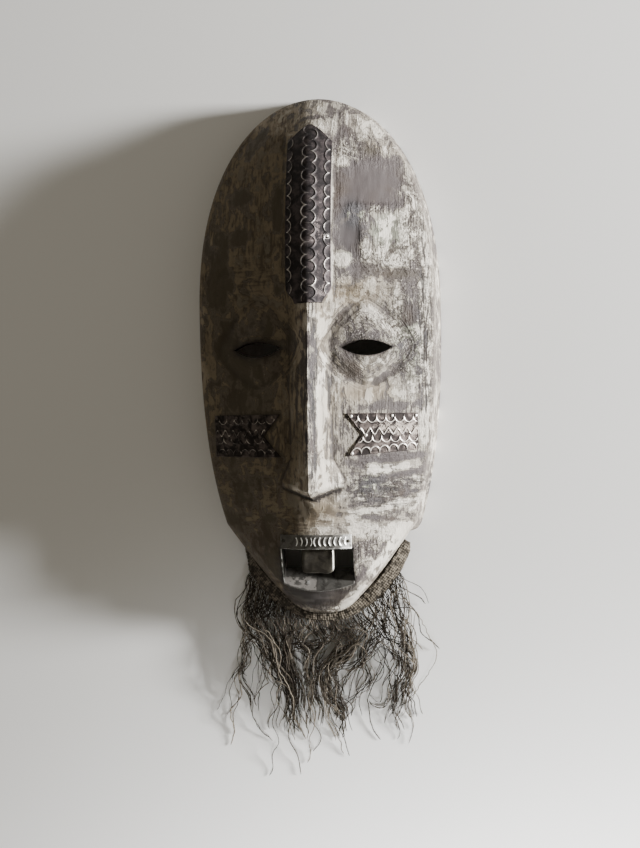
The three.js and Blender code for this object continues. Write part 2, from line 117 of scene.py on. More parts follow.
# %% Outline of the face
FACE_WIDEST_Y = 38.0
CHIN_Y = -248.0
FACE_HALF_WIDTH = 111.3
JAW_FROM_Y = -161.0  # below this line the jaw is cut narrower, down to the chin
JAW_CUT = 0.00427  # share of the width that the cut takes for each mm below that line
JAW_CUT_MOST = 0.297


def ease(t):
    """A soft step from 0 to 1."""
    t = np.clip(t, 0, 1)
    return t * t * (3 - 2 * t)


def between(a, b, t):
    return a + (b - a) * t


def reach(y):
    """0 on the widest line of the face and 1 at its top or at its chin."""
    end = np.where(y > FACE_WIDEST_Y, FACE_TOP_Y, CHIN_Y)
    return np.clip((y - FACE_WIDEST_Y) / (end - FACE_WIDEST_Y), 0, 1)


def oval_half_width(y):
    root = np.where(np.asarray(y) > FACE_WIDEST_Y, 2.0, 2.6)
    return FACE_HALF_WIDTH * (1 - reach(y) ** 2.35) ** (1 / root)


def front_half_width(y):
    """Half width of the front edge: the oval, with the jaw cut in."""
    cut = JAW_CUT * np.maximum(0, JAW_FROM_Y - np.asarray(y))
    return oval_half_width(y) * (1 - np.minimum(JAW_CUT_MOST, cut))


def from_edge(x, y):
    """How far inside the front edge a plan point lies, in millimetres."""
    slope = front_half_width(y + 0.5) - front_half_width(y - 0.5)
    return (front_half_width(y) - np.abs(x)) / np.hypot(1, slope)


def edge_point(y, offset):
    """The right front edge at y, moved outwards in plan by offset, as x and y."""
    y = np.asarray(y, float)
    step = 0.01
    slope = (front_half_width(y + step) - front_half_width(y - step)) / (2 * step)
    length = np.hypot(1, slope)
    x = np.maximum(0, front_half_width(y) + offset / length)
    beyond = y - offset * slope / length
    top, chin = y >= FACE_TOP_Y, y <= CHIN_Y
    x = np.where(top | chin, 0, x)
    return x, np.where(top, FACE_TOP_Y + offset, np.where(chin, CHIN_Y - offset, beyond))


print("the face is", round(2 * float(front_half_width(FACE_WIDEST_Y)), 1), "mm wide at its front edge")

# %% Dome and bevel
EDGE_HEIGHT = 46  # of the front edge on the widest line, mm
EDGE_FALL_TOP, EDGE_FALL_CHIN = 20, 26  # how much lower that edge lies at the two ends
DOME_RISE = 41  # of the face's middle above its edge
BEVEL_WIDTH = 10.0


def side_height(y):
    """Height of the front edge at y."""
    y = np.asarray(y, float)
    fall = np.where(y > FACE_WIDEST_Y, EDGE_FALL_TOP * reach(y) ** 2, EDGE_FALL_CHIN * reach(y) ** 2.2)
    return EDGE_HEIGHT - fall


def dome_height(x, y):
    r = reach(y)
    crown = np.where(y > FACE_WIDEST_Y, (1 - r**3) ** 0.7, (1 - r**5) ** 0.6)
    across = np.minimum(1, np.abs(x) / np.maximum(oval_half_width(y), 1e-6))
    return side_height(y) + DOME_RISE * crown * (1 - across**1.7)


def bevel_depth(x, y):
    """How far the bevel on the jaw's edge lies below the dome."""
    half = front_half_width(y)
    width = np.maximum(1, BEVEL_WIDTH * np.clip(half / 32, 0, 1))
    edge_rise = dome_height(half, y) - side_height(y)
    return edge_rise * np.clip(1 - from_edge(x, y) / width, 0, 1)


print("height of the dome over the eyes:", round(float(dome_height(50.0, np.array(3.0))), 1), "mm")


# %% [markdown]
# ## Keel, nose, lids and muzzle
# On the dome the carver leaves a ridge that is a keel on the forehead and a straight nose below
# it. The eye sockets are sunk, and the lids and the mouth swell out of them again. Each is one
# more height that is added to the dome, so each can be made higher or lower by itself.


# %% Keel and nose
KEEL_FROM_Y = 38
BRIDGE_HALF, KEEL_HALF, WING_HALF = 19.5, 24, 29.5  # half widths between the eyes, above, at the nostrils
KEEL_HEIGHT, NOSE_HEIGHT = 8, 18  # the nose rises by its own height on top of the keel's
NOSE_LOW_Y, WING_RISE, NOSE_UNDERCUT = -129, 11, 7
BEND_AT, BEND_HEIGHT = 0.45, 0.62  # where the nose's flank turns steeper, as shares of width and height


def ridge_half_width(y):
    keel = between(BRIDGE_HALF, KEEL_HALF, ease((y - KEEL_FROM_Y) / 16))
    nose = between(BRIDGE_HALF, WING_HALF, np.clip((-98 - y) / 20, 0, 1))
    return np.where(y > KEEL_FROM_Y, keel, nose)


def ridge_height(x, y):
    crest_radius = between(0.7, 3.5, ease((y - 40) / 14))
    from_crest = np.hypot(x, crest_radius) - crest_radius
    across = np.minimum(1, from_crest / (ridge_half_width(y) - 0.8 * crest_radius))
    down = np.clip((44 - y) / 173, 0, 1)
    height = KEEL_HEIGHT * ease((232 - y) / 40) + NOSE_HEIGHT * down
    crest = 1 - (1 - BEND_HEIGHT) * across / BEND_AT
    flank = BEND_HEIGHT * (1 - across) / (1 - BEND_AT)
    profile = between(1 - across, np.minimum(crest, flank), ease((52 - y) / 30))
    wing = np.clip(np.abs(x) / WING_HALF, 0, 1)
    bottom = NOSE_LOW_Y + WING_RISE * wing - NOSE_UNDERCUT
    return height * profile * np.clip((y - bottom) / NOSE_UNDERCUT, 0, 1)


print("height of the nose above the dome:", round(float(ridge_height(0, -120)), 1), "mm")

# %% Lids, sockets and muzzle
EYE_X, EYE_Y = 50.7, 2.9
LID_HALF, LID_ABOVE, LID_BELOW, LID_POWER = 36, 42, 33, 1.4
LID_HEIGHT, SOCKET_DEPTH, BROW_CUT, MUZZLE_HEIGHT = 8.5, 6.5, 1.8, 7


def from_lid(x, y):
    """0 in the middle of an eyelid mound and 1 on its outline, a diamond with soft corners."""
    side = np.abs(np.asarray(x))
    rise = np.abs(y - EYE_Y) / np.where(y > EYE_Y, LID_ABOVE, LID_BELOW)
    return (np.abs(side - EYE_X) / LID_HALF) ** LID_POWER + rise**LID_POWER


def eye_relief(x, y):
    side = np.abs(x)
    socket = ((side - 50) / 42) ** 2 + ((y - 14) / 46) ** 2
    brow = ease((side - 32) / 10) * ease((92 - side) / 10) * np.exp(-(((y - 74) / 5) ** 2))
    return LID_HEIGHT * ease(1 - from_lid(x, y)) - SOCKET_DEPTH * np.exp(-(socket**2)) - BROW_CUT * brow


def muzzle_height(x, y):
    return MUZZLE_HEIGHT * np.exp(-(((x / 50) ** 2 + ((y + 197) / 30) ** 2) ** 1.5))


def face_height(x, y):
    x, y = np.asarray(x, float), np.asarray(y, float)
    dome = dome_height(x, y) - bevel_depth(x, y)
    return dome + ridge_height(x, y) + eye_relief(x, y) + muzzle_height(x, y)


print("height of the nose:", round(float(face_height(0, -120)), 1), "mm")

# %% [markdown]
# ## Traces of the hand
# A knife leaves shallow facets, clay paint leaves ridges, and nothing on the object is quite
# straight. Blender's own textures can't be read from Python, so a small noise function is written
# in numpy: random numbers on a lattice, joined softly. Each use names its own seed, so the relief
# is the same on every run.


# %% Soft noise
LATTICE = 97


def soft_noise(x, y, size, seed):
    """Smooth random relief from -1 to 1 with lumps of size (across, along) in millimetres."""
    lattice = np.random.default_rng(seed).uniform(-1, 1, (LATTICE, LATTICE))
    u, v = x / size[0] + 40.3, y / size[1] + 40.7
    i, j = np.floor(u).astype(int), np.floor(v).astype(int)
    s, t = ease(u - i), ease(v - j)
    i, next_i, j, next_j = i % LATTICE, (i + 1) % LATTICE, j % LATTICE, (j + 1) % LATTICE
    here = between(lattice[i, j], lattice[next_i, j], s)
    above = between(lattice[i, next_j], lattice[next_i, next_j], s)
    return between(here, above, t)


print("noise at the plan's origin:", round(float(soft_noise(np.zeros(1), np.zeros(1), (17, 34), 1)[0]), 2))

# %% Distance from the openings
EYE_HALF, EYE_UP, EYE_DOWN = 23.3, 6.4, 7.8  # the slit's half length, and its height above and below
MOUTH_HALF, MOUTH_TOP, MOUTH_BACK, MOUTH_FRONT = 34.0, -181.3, -203.0, -223.3
MOUTH_BACK_Z, MOUTH_FRONT_Z = 37.5, 52.5  # the mouth's floor slopes up between these


def past_slit(x, y):
    """How far a plan point lies outside the nearer eye slit, roughly, in millimetres."""
    along, over = np.abs(x) - EYE_X, y - EYE_Y
    deep = np.where(over > 0, EYE_UP, EYE_DOWN)
    slope = 2 * deep * np.abs(along) / EYE_HALF**2
    return (np.abs(over) - deep * (1 - (along / EYE_HALF) ** 2)) / np.hypot(1, slope)


def past_mouth(x, y):
    beside = np.abs(x) - MOUTH_HALF
    over = np.maximum(y - MOUTH_TOP, MOUTH_FRONT - y)
    return np.hypot(np.maximum(beside, 0), np.maximum(over, 0)) + np.minimum(0, np.maximum(beside, over))


def lid_ring(x, y):
    """Like from_lid, but growing evenly from the lid's middle outwards."""
    return from_lid(x, y) ** (1 / LID_POWER)


def oval_shares(x, y, ovals):
    """The sum of a list of soft ovals at plan points."""
    total = np.zeros_like(x)
    for ox, oy, half_width, half_height, turn, amount in ovals:
        c, s = math.cos(math.radians(turn)), math.sin(math.radians(turn))
        u, v = x - ox, y - oy
        r = ((u * c + v * s) / half_width) ** 2 + ((v * c - u * s) / half_height) ** 2
        total += amount * np.exp(-(r**1.5) * 0.7)
    return total


print("a point", round(float(past_slit(EYE_X, EYE_Y + 10)), 1), "mm above an eye slit")

# %% Marks of the knife and the brush
# Where the paint was dabbed thick and the knife left rough marks. Each oval: x and y in the plan,
# half width, half height, turn in degrees, and how much it adds.
ROUGH_OVALS = [
    (56, 12, 32, 40, 0, 0.8),
    (93, 18, 16, 60, 0, 0.6),
    (64, -125, 32, 22, 0, 0.7),
    (64, 86, 30, 16, 0, 0.6),
    (44, 186, 28, 16, 0, 0.5),
    (91, 120, 12, 45, 0, 0.5),
    (50, -184, 18, 16, 0, 0.4),
]


def knife_relief(x, y):
    """Facets, brush ridges and worn lips of the openings, added to the plain form."""
    facets = 0.42 * soft_noise(x, y, (17, 34), 1) + 0.22 * soft_noise(x, y, (6, 15), 2)
    rough = 0.15 + oval_shares(np.abs(x), y, ROUGH_OVALS)
    brush = 0.16 * soft_noise(x, y, (2.6, 11), 3) + 0.55 * rough * soft_noise(x, y, (4.5, 5.5), 4)
    lip = 0.9 * np.exp(-np.maximum(past_slit(x, y), 0) / 1.3)
    lip = lip + 0.7 * np.exp(-np.maximum(past_mouth(x, y), 0) / 1.1)
    ring = lid_ring(x, y)
    rim = 1.3 * np.exp(-(((ring - 0.8) / 0.15) ** 2)) - 1.2 * np.exp(-(((ring - 1.08) / 0.10) ** 2))
    fold = 1.1 * np.exp(-(((ring - 0.45) / 0.12) ** 2)) * (np.asarray(y) < EYE_Y)
    return (facets + brush) * ease(front_half_width(y) / 30) - lip + rim - fold


def carved_height(x, y):
    return face_height(x, y) + knife_relief(x, y)


print("knife relief at three places:", np.round(knife_relief(np.array([-60.0, 0, 60]), np.zeros(3)), 2))

# %% [markdown]
# ## Mesh helpers
# Every piece starts as rows of points. One helper makes a Blender object of points and faces,
# another joins rows into a tube, and a third joins two grids into a thin closed plate.


# %% Mesh helpers
def mesh_object(name, points, faces, smooth=True):
    """A mesh object from plan points in millimetres and faces that list point numbers."""
    mesh = bpy.data.meshes.new(name)
    mesh.from_pydata(to_frame(points).tolist(), [], [list(map(int, f)) for f in faces])
    mesh.validate()
    made = bpy.data.objects.new(name, mesh)
    scene.collection.objects.link(made)
    mesh.polygons.foreach_set("use_smooth", [smooth] * len(mesh.polygons))
    return made


def set_value(thing, name, values):
    """Stores one number for each point, for a material to read."""
    layer = thing.data.attributes.new(name, "FLOAT", "POINT")
    layer.data.foreach_set("value", np.asarray(values, np.float32))


def merge_close(thing, distance=2e-6):
    """Joins equal points, drops faces that fold to nothing and turns all faces outwards."""
    work = bmesh.new()
    work.from_mesh(thing.data)
    bmesh.ops.remove_doubles(work, verts=work.verts, dist=distance)
    bmesh.ops.dissolve_degenerate(work, edges=work.edges, dist=distance)
    if work.calc_volume(signed=True) < 0:
        bmesh.ops.reverse_faces(work, faces=work.faces)
    work.to_mesh(thing.data)
    work.free()


def plan_points(thing):
    """The points of an object, in the plan."""
    flat = np.zeros(len(thing.data.vertices) * 3)
    thing.data.vertices.foreach_get("co", flat)
    return to_plan(flat.reshape(-1, 3))


print("mesh helpers are ready")


# %% Tubes and plates
def tube_faces(rows, columns):
    """Faces that join rows of closed rings, each of the same number of points."""
    i, j = np.meshgrid(np.arange(rows - 1), np.arange(columns), indexing="ij")
    k = (j + 1) % columns
    corners = [i * columns + j, i * columns + k, (i + 1) * columns + k, (i + 1) * columns + j]
    return np.stack(corners, -1).reshape(-1, 4)


def plate_faces(rows, columns):
    """Faces of a closed plate whose upper grid of points comes first and its lower grid second."""
    i, j = np.meshgrid(np.arange(rows - 1), np.arange(columns - 1), indexing="ij")
    a = (i * columns + j).reshape(-1)
    upper = np.stack([a, a + 1, a + columns + 1, a + columns], -1)
    below = rows * columns
    lower = upper[:, ::-1] + below
    grid = np.arange(below).reshape(rows, columns)
    rim = np.concatenate([grid[0, :], grid[1:, -1], grid[-1, -2::-1], grid[-2:0:-1, 0]])
    after = np.roll(rim, -1)
    wall = np.stack([after, rim, rim + below, after + below], -1)
    return np.concatenate([upper, lower, wall])


def closed_plate(name, upper, lower, **values):
    """A thin closed piece between two grids of plan points, with named values of its upper points."""
    rows, columns = upper.shape[:2]
    points = np.concatenate([upper.reshape(-1, 3), lower.reshape(-1, 3)])
    made = mesh_object(name, points, plate_faces(rows, columns))
    for label, upper_values in values.items():
        set_value(made, label, np.concatenate([upper_values.reshape(-1), np.zeros(rows * columns)]))
    merge_close(made)
    return made


print("a plate of 3 by 3 points has", len(plate_faces(3, 3)), "faces")

# %% [markdown]
# ## The shell
# The wooden shell is one closed skin: over the face, round the edge, down the side wall, under
# the rim and up into the hollow. It could be a solid block with a hollow cut out of it, but about
# 400 cross sections, close together at the two ends, give even faces on both sides of the wall.

# %% Sections: over the face
EDGE_RADIUS = 3.0
SECTIONS_ABOVE, SECTIONS_BELOW = 165, 232


def station_heights():
    """Places of the sections along y, dense at the top of the head and at the chin."""
    quarter = math.pi / 2
    rise = np.sin(quarter * np.linspace(1, 0, SECTIONS_ABOVE, endpoint=False))
    fall = np.sin(quarter * np.linspace(0, 1, SECTIONS_BELOW))
    up_part = FACE_WIDEST_Y + (FACE_TOP_Y - FACE_WIDEST_Y) * rise
    return np.concatenate([up_part, FACE_WIDEST_Y + (CHIN_Y - FACE_WIDEST_Y) * fall])


def front_columns(y, side):
    """Points from the middle of the face to its front edge, close together on the ridge."""
    front_x, front_y = edge_point(y, -EDGE_RADIUS)
    ridge = np.minimum(ridge_half_width(front_y), front_x * 0.5)
    on_ridge = np.concatenate([np.linspace(0, BEND_AT, 8), np.linspace(BEND_AT, 1, 10)[1:]])
    across = [ridge * share for share in on_ridge]
    across += [between(ridge, front_x, share) for share in np.linspace(0, 1, 50)[1:]]
    return [(x, front_y, carved_height(side * x, front_y)) for x in across]


stations = station_heights()
print(len(stations), "sections with", len(front_columns(stations, 1)), "points over each half of the face")

# %% Sections: side wall and hollow
LEDGE_FROM_Y, LEDGE_INSET, LEDGE_DROP = -165, 5, 7.4  # the ledge that the band lies under
EDGE_ROUND = [(-1.7, 0.75), (-0.7, -0.1), (-0.15, -1.3), (0, -3), (0.1, -5), (0, -7)]  # out and up
WALL_TOP = 12  # how far the hollow's wall ends below the front edge
WALL_THICK = 11


def side_columns(y, side):
    """Points round the front edge, over the ledge and down the side wall."""
    jaw = ease((LEDGE_FROM_Y - y) / 12)
    inset = LEDGE_INSET * jaw
    flare = RIM_FLARE * (1 - jaw) - inset
    ledge = side_height(y) - LEDGE_DROP
    columns = [(*edge_point(y, out), side_height(y) + rise) for out, rise in EDGE_ROUND]
    columns.append((*edge_point(y, -inset), ledge))
    for share in (0.2, 0.4, 0.6, 0.8):
        wave = 0.35 * soft_noise(y, 20 * share + 0 * y, (14, 9), 5 + side) * ease(front_half_width(y) / 30)
        columns.append((*edge_point(y, between(-inset, flare, share) + wave), between(ledge, 0, share)))
    return columns + [(*edge_point(y, flare), 0.9 + 0 * y), (*edge_point(y, flare - 0.9), 0 * y)]


def hollow_columns(y, side):
    """Points under the rim and up into the hollow, back to its middle."""
    wall_top = side_height(y) - WALL_TOP
    inner = between(-5.5, -14.0, ease((-120 - y) / 60))
    columns = [(*edge_point(y, inner + 1), 0 * y), (*edge_point(y, inner), 1.0 + 0 * y)]
    columns += [(*edge_point(y, inner - 1.5), wall_top * 0.5), (*edge_point(y, inner - 3), wall_top)]
    hollow_x, hollow_y = edge_point(y, inner - 6)
    for share in np.linspace(1, 0, 15):
        x = hollow_x * share
        gouge = 0.55 * soft_noise(side * x, hollow_y, (11, 19), 7) * ease(hollow_x / 30)
        columns.append((x, hollow_y, dome_height(x, hollow_y) - WALL_THICK + gouge))
    return columns


def half_sections(y, side):
    """Points of one half of every section, from the middle of the face round into the hollow."""
    columns = front_columns(y, side) + side_columns(y, side) + hollow_columns(y, side)
    return np.stack([np.stack([side * x, at_y, z], -1) for x, at_y, z in columns], 1)


right_half = half_sections(stations, 1)
left_half = half_sections(stations, -1)
rings = np.concatenate([right_half, left_half[:, -2:0:-1]], 1)
shell = mesh_object("carved_shell", rings.reshape(-1, 3), tube_faces(rings.shape[0], rings.shape[1]))
merge_close(shell, 1e-5)
print("shell:", len(shell.data.polygons), "faces before cutting")

# %% [markdown]
# ## Eye slits and mouth
# On the real mask the slits and the mouth are cut right through the wood. The same is done with
# three closed cutters and Blender's Boolean modifier, and its result becomes the shell's mesh. A
# cutter leaves crisp edges, so afterwards only the edges with a steep angle are marked sharp.


# %% Cutters
def cutter(name, points):
    """A closed block between two equal outlines, the first and the second half of the points."""
    count = len(points) // 2
    sides = [(i, (i + 1) % count, count + (i + 1) % count, count + i) for i in range(count)]
    made = mesh_object(name, points, sides + [range(count)[::-1], range(count, 2 * count)], False)
    merge_close(made)
    return made


def eye_cutter(name, middle):
    """An almond that stands upright through the wall."""
    t = np.linspace(-1, 1, 41)
    upper = [(middle + EYE_HALF * s, EYE_Y + EYE_UP * (1 - s * s)) for s in t[::-1]]
    lower = [(middle + EYE_HALF * s, EYE_Y - EYE_DOWN * (1 - s * s)) for s in t[1:-1]]
    return cutter(name, [(x, y, z) for z in (40, 115) for x, y in lower + upper])


def mouth_cutter(name):
    """A box from the face to its sloping floor, open into the hollow at the back."""
    profile = [
        (MOUTH_TOP, 100),
        (MOUTH_TOP, 10),
        (MOUTH_BACK, 10),
        (MOUTH_BACK, MOUTH_BACK_Z),
        (MOUTH_FRONT, MOUTH_FRONT_Z),
        (MOUTH_FRONT, 100),
    ]
    return cutter(name, [(x, y, z) for x in (-MOUTH_HALF, MOUTH_HALF) for y, z in profile])


cutters = [eye_cutter("cutter_eye_left", -EYE_X), eye_cutter("cutter_eye_right", EYE_X)]
cutters.append(mouth_cutter("cutter_mouth"))
print("cutters:", [c.name for c in cutters])

# %% Cut through the shell
for block in cutters:
    cut = shell.modifiers.new("cut", "BOOLEAN")
    cut.operation, cut.solver, cut.object = "DIFFERENCE", "MANIFOLD", block
bpy.context.view_layer.update()
cut_mesh = bpy.data.meshes.new_from_object(shell.evaluated_get(bpy.context.evaluated_depsgraph_get()))
shell.modifiers.clear()
shell.data = cut_mesh
for block in cutters:
    bpy.data.objects.remove(block)
shell.data.set_sharp_from_angle(angle=math.radians(38))
print("shell after cutting:", len(shell.data.polygons), "faces")

# %% [markdown]
# ## Where the paint sits
# Clay paint was brushed on in dabs and has rubbed off in patches, so the amount of paint changes
# slowly over the face and breaks up finely at the patches' edges. A painted image could hold it,
# but the slow part is stored on the mesh as one number for each point, built from soft ovals, and
# the fine part is noise in the material, so both stay sharp from near by and easy to change.

# %% Plan of the clay
# The ovals are written as those of the knife marks, with how much paint each adds or takes away.
CLAY_OVALS = [
    (55, 155, 30, 24, 0, -0.72),
    (37, 118, 13, 36, 0, -0.75),
    (41, 124, 8.2, 11, 0, 0.5),
    (71, 110, 12, 13, 0, 0.30),
    (52, 92, 4.5, 9, 0, 0.7),
    (31, 82, 8.2, 6.4, 0, 0.95),
    (68, 85, 15, 7.3, 0, 0.3),
    (78, 70, 20, 4.5, 3, -0.75),
    (44, 72, 5.5, 6.4, 0, -0.5),
    (32, 70, 7.3, 5.5, 0, -0.4),
    (30, 178, 6, 9, 0, 0.9),
    (54, 188, 7.3, 4.5, 0, -0.5),
    (73, 177, 5.5, 4.5, 0, -0.55),
    (74, 189, 9, 6.4, 0, 0.45),
    (30, 206, 6.4, 7.3, 0, -0.45),
    (46, 214, 18, 8.2, -25, 0.4),
    (92, 116, 6.4, 36, 4, 0.3),
    (103, 46, 4.1, 100, 0, 0.5),
    (7, 231, 15, 5.5, 0, 0.1),
    (6, 220, 13, 2.7, 0, -0.4),
    (37, 52, 22, 8.2, 12, 0.42),
    (68, 52, 18, 7.3, -6, 0.2),
    (89, 56, 8.2, 13, 0, -0.3),
    (63, 26, 20, 3.6, -41, 0.65),
    (56, 17, 18, 8.2, -15, -0.35),
    (34, -16, 15, 8.2, -5, -0.6),
    (62, -26, 8.2, 2.7, 38, -0.9),
    (58, -11, 13, 6.4, 10, 0.35),
    (50, -38, 27, 11, 0, 0.15),
    (89, 30, 7.3, 11, 0, -0.45),
    (69, -51, 27, 3.6, 2, -0.6),
    (102, -72, 5.5, 20, 0, 0.4),
    (70, -99, 33, 3.6, 6, -0.75),
    (69, -107, 17, 5, 6, 0.7),
    (82, -113, 25, 2.3, 12, -0.8),
    (64, -125, 22, 8.2, 8, -0.35),
    (49, -122, 6.4, 6.4, 0, -0.35),
    (70, -134, 33, 2.6, 13, -0.65),
    (65, -144, 29, 3.6, 13, 0.75),
    (57, -154, 25, 1.8, -8, -0.35),
    (8, -148, 20, 11, 0, 0.1),
    (58, -167, 31, 7.3, -6, 0.6),
    (49, -184, 13, 9, 10, -0.5),
    (54, -203, 40, 6.0, 47, -0.3),
    (44, -209, 11, 7.3, 47, -0.35),
    (-1, -228, 29, 7.3, 0, -0.9),
    (-8, -238, 26, 6, 0, -0.5),
    (20, 115, 1.8, 68, 0, 1.3),
    (2.5, -41, 4.5, 78, 0, -0.55),
    (3, 31, 4.5, 11, 0, 0.5),
    (4, -108, 5.5, 11, 0, 0.5),
    (12, -41, 4.6, 77, 0, 0.5),
    (21, -45, 3.2, 73, 0, 0.15),
    (21, 6, 4.5, 15, 0, -0.3),
    (-60, 110, 50, 110, 0, 0.12),
    (-88, 60, 12, 60, 0, -0.35),
    (-50, 8, 40, 30, 0, -0.4),
    (-66, -60, 34, 60, 0, -0.3),
    (-58, 195, 8, 20, -35, -0.7),
    (-66, 145, 10, 8, 0, -0.6),
    (-66, 108, 9, 9, 0, -0.7),
    (-29, 130, 5, 24, 0, -0.7),
    (-93, 62, 8, 14, 0, -0.7),
    (-58, 48, 34, 5, -8, 0.45),
    (-22, -45, 6, 70, 0, 0.2),
    (-66, -140, 34, 30, 20, -0.15),
    (-30, -150, 30, 20, 0, 0.2),
    (-62, 190, 20, 20, 30, 0.2),
    # Less clay on the chin's left: painted shade.
    (-50, -195, 34, 40, 20, -0.45),
    (24, -205, 10, 16, 40, -0.25),
    (-51, 12.5, 15, 1.7, 0, 1.2),
    (60, -180, 20, 9, 20, 0.3),
]
print("clay ovals:", len(CLAY_OVALS))

# %% Plan of the paint's hue
# Above 0 the paint is cooler and greener and below 0 it is warmer. Near -1 it is darker, duller and
# warmer as painted shade, which the first oval lays over the whole left half.
HUE_OVALS = [
    (-62, 0, 62, 290, 0, -1.35),
    (71, 110, 15, 15, 0, 1),
    (41, 124, 8.2, 11, 0, 0.9),
    (91, 4, 13, 38, 0, 0.75),
    (101, -69, 5.5, 27, 0, 0.5),
    (31, 82, 8.2, 6.4, 0, 0.4),
    (3, -41, 4.5, 77, 0, 0.9),
    (49, -122, 8.2, 8.2, 0, 0.6),
    (64, -125, 22, 9, 0, 0.4),
    (36, 107, 12, 25, 0, 0.5),
    (46, 52, 25, 11, 0, -0.7),
    (8, -148, 24, 13, 0, -0.6),
    (50, -38, 27, 9, 0, -0.5),
    (78, 70, 22, 5.5, 0, -0.6),
    (54, 188, 9, 7.3, 0, -0.6),
    (34, -16, 15, 8.2, 0, -0.5),
]
print("hue ovals:", len(HUE_OVALS))

# %% Plan of the brush
# Where the brush left long streaks.
STREAK_OVALS = [
    (3, -41, 5, 90, 0, 1.1),
    (14, -41, 5, 90, 0, 0.45),
    (24, -45, 7, 90, 0, 0.5),
    (104, 20, 8, 120, 0, 0.8),
    (66, -128, 40, 24, 8, 0.7),
    (92, -20, 14, 50, 0, 0.3),
    (-14, -41, 14, 90, 0, 0.5),
]
# Where the brush was drawn level instead of upright; the same on both sides.
LEVEL_OVALS = [
    (62, 66, 34, 20, 8, 1),
    (66, -122, 40, 34, 12, 1),
    (14, -158, 46, 12, 0, 0.9),
    (84, -20, 22, 30, 0, 0.5),
]
print("brush ovals:", len(STREAK_OVALS + LEVEL_OVALS))

# %% Plan of breaks and dirt
# How broken the paint is.
BUSY_OVALS = [
    (-62, 0, 60, 270, 0, -0.3),
    (56, 152, 22, 17, 0, -0.5),
    (37, 112, 8, 26, 0, -0.5),
    (71, 110, 9, 10, 0, -0.15),
    (50, -38, 27, 9, 0, -0.35),
    (69, -107, 15, 6.4, 0, -0.35),
    (14, -41, 4.1, 77, 0, -0.3),
    (8, -148, 25, 13, 0, -0.35),
    (-1, -228, 31, 8.2, 0, -0.35),
    (7, 231, 20, 7.3, 0, -0.25),
    (37, 52, 16, 6.4, 0, -0.15),
    (56, 20, 24, 14, 0, 0.45),
    (93, 18, 16, 55, 0, 0.4),
    (34, -16, 16, 8.2, 0, 0.35),
    (64, -125, 27, 13, 0, 0.35),
    (64, 86, 27, 11, 0, 0.35),
    (44, 186, 24, 13, 0, 0.3),
    (3, -41, 4.5, 82, 0, 0.3),
    (49, -184, 15, 13, 0, 0.3),
    (91, 120, 9, 41, 0, 0.35),
    (60, 130, 24, 4, 0, 0.5),
    (50, 108, 3, 20, 0, 0.5),
    (41, 124, 8, 11, 0, 0.5),
]
# Darker places: painted shade on the chin's left and round the left eye, a dark band under the
# lower lip and a few dark marks.
SHADE_AND_DIRT_OVALS = [
    (-3, -230, 29, 8.5, 0, 0.95),
    (-14, -240, 20, 6, 0, 0.4),
    (-40, -205, 18, 22, 35, 0.4),
    (-51, 3, 29, 11, 0, 0.5),
    (-45, 26, 2.5, 9, 10, 0.6),
    (-76, 24, 2.5, 10, -25, 0.5),
    (30, -218, 12, 5, 35, 0.35),
]


print("ovals for breaks and dirt:", len(BUSY_OVALS + SHADE_AND_DIRT_OVALS))


# %% Masks of the surface
def jaw_bevel(x, y):
    """1 on the rubbed bevel just inside the jaw's edge. It is weaker on the left, as painted shade there.
    """
    bevel = np.exp(-(((from_edge(x, y) - 5) / 5) ** 4)) * ease((-150 - y) / 20)
    return bevel * between(0.3, 1.0, ease(x / 30))


def paint_share(x, y):
    """Slowly changing share of clay paint over the face, from 0 to 1."""
    drift = 0.12 * soft_noise(x, y, (30, 46), 11) + 0.24 * soft_noise(x, y, (9, 16), 12)
    drift = drift + 0.12 * soft_noise(x, y, (4, 6), 14)
    share = 0.56 + 0.8 * (drift + oval_shares(x, y, CLAY_OVALS)) + 0.6 * jaw_bevel(x, y)
    return np.clip(share, 0.0, 1)


px, py, pz = plan_points(shell).T
depth = face_height(px, py) - pz
beyond = np.abs(px) - front_half_width(py)
outside = np.maximum(ease(1 - (depth - 2) / 5), ease((beyond + 2) / 2))
# Painted shade: a dark rim just inside the eye slits and the mouth, and a dark line under the nose.
opening_shade = np.exp(-np.maximum(past_slit(px, py), 0) / 2.2)
opening_shade = np.maximum(opening_shade, np.exp(-np.maximum(past_mouth(px, py), 0) / 2))
nostril_line = NOSE_LOW_Y - 6.5 + WING_RISE * np.clip(np.abs(px) / WING_HALF, 0, 1)
nose_shade = np.exp(-(((py - nostril_line) / 1.5) ** 2)) * ease((30 - np.abs(px)) / 4)
opening_shade = np.maximum(opening_shade, nose_shade)
print("share of the shell's points on its outside:", round(float(np.mean(outside > 0.5)), 2))

# %% Store the paint plan on the mesh
hue = oval_shares(px, py, HUE_OVALS) + 0.25 * soft_noise(px, py, (22, 30), 13)
busy = 0.72 + oval_shares(px, py, BUSY_OVALS) - 0.3 * jaw_bevel(px, py)
shade_and_dirt = oval_shares(px, py, SHADE_AND_DIRT_OVALS) * (0.8 + 0.8 * soft_noise(px, py, (6, 3), 17)) * outside
# The darkening stored here is painted shade at the openings and under the nose, with the darker ovals.
shade_and_grime = opening_shade * ease(depth + 1.2) + nose_shade * 0.8 + shade_and_dirt
set_value(shell, "clay", paint_share(px, py))
set_value(shell, "hue", np.clip(hue, -1, 1))
set_value(shell, "streaky", np.clip(oval_shares(px, py, STREAK_OVALS), 0, 1))
set_value(shell, "busy", np.clip(busy, 0.12, 1.25))
set_value(shell, "outside", outside)
set_value(shell, "shade_and_grime", np.clip(shade_and_grime, 0, 1))
set_value(shell, "wear", np.exp(-((beyond / 2.5) ** 2)) * outside)
print("values on the shell:", len(shell.data.attributes))

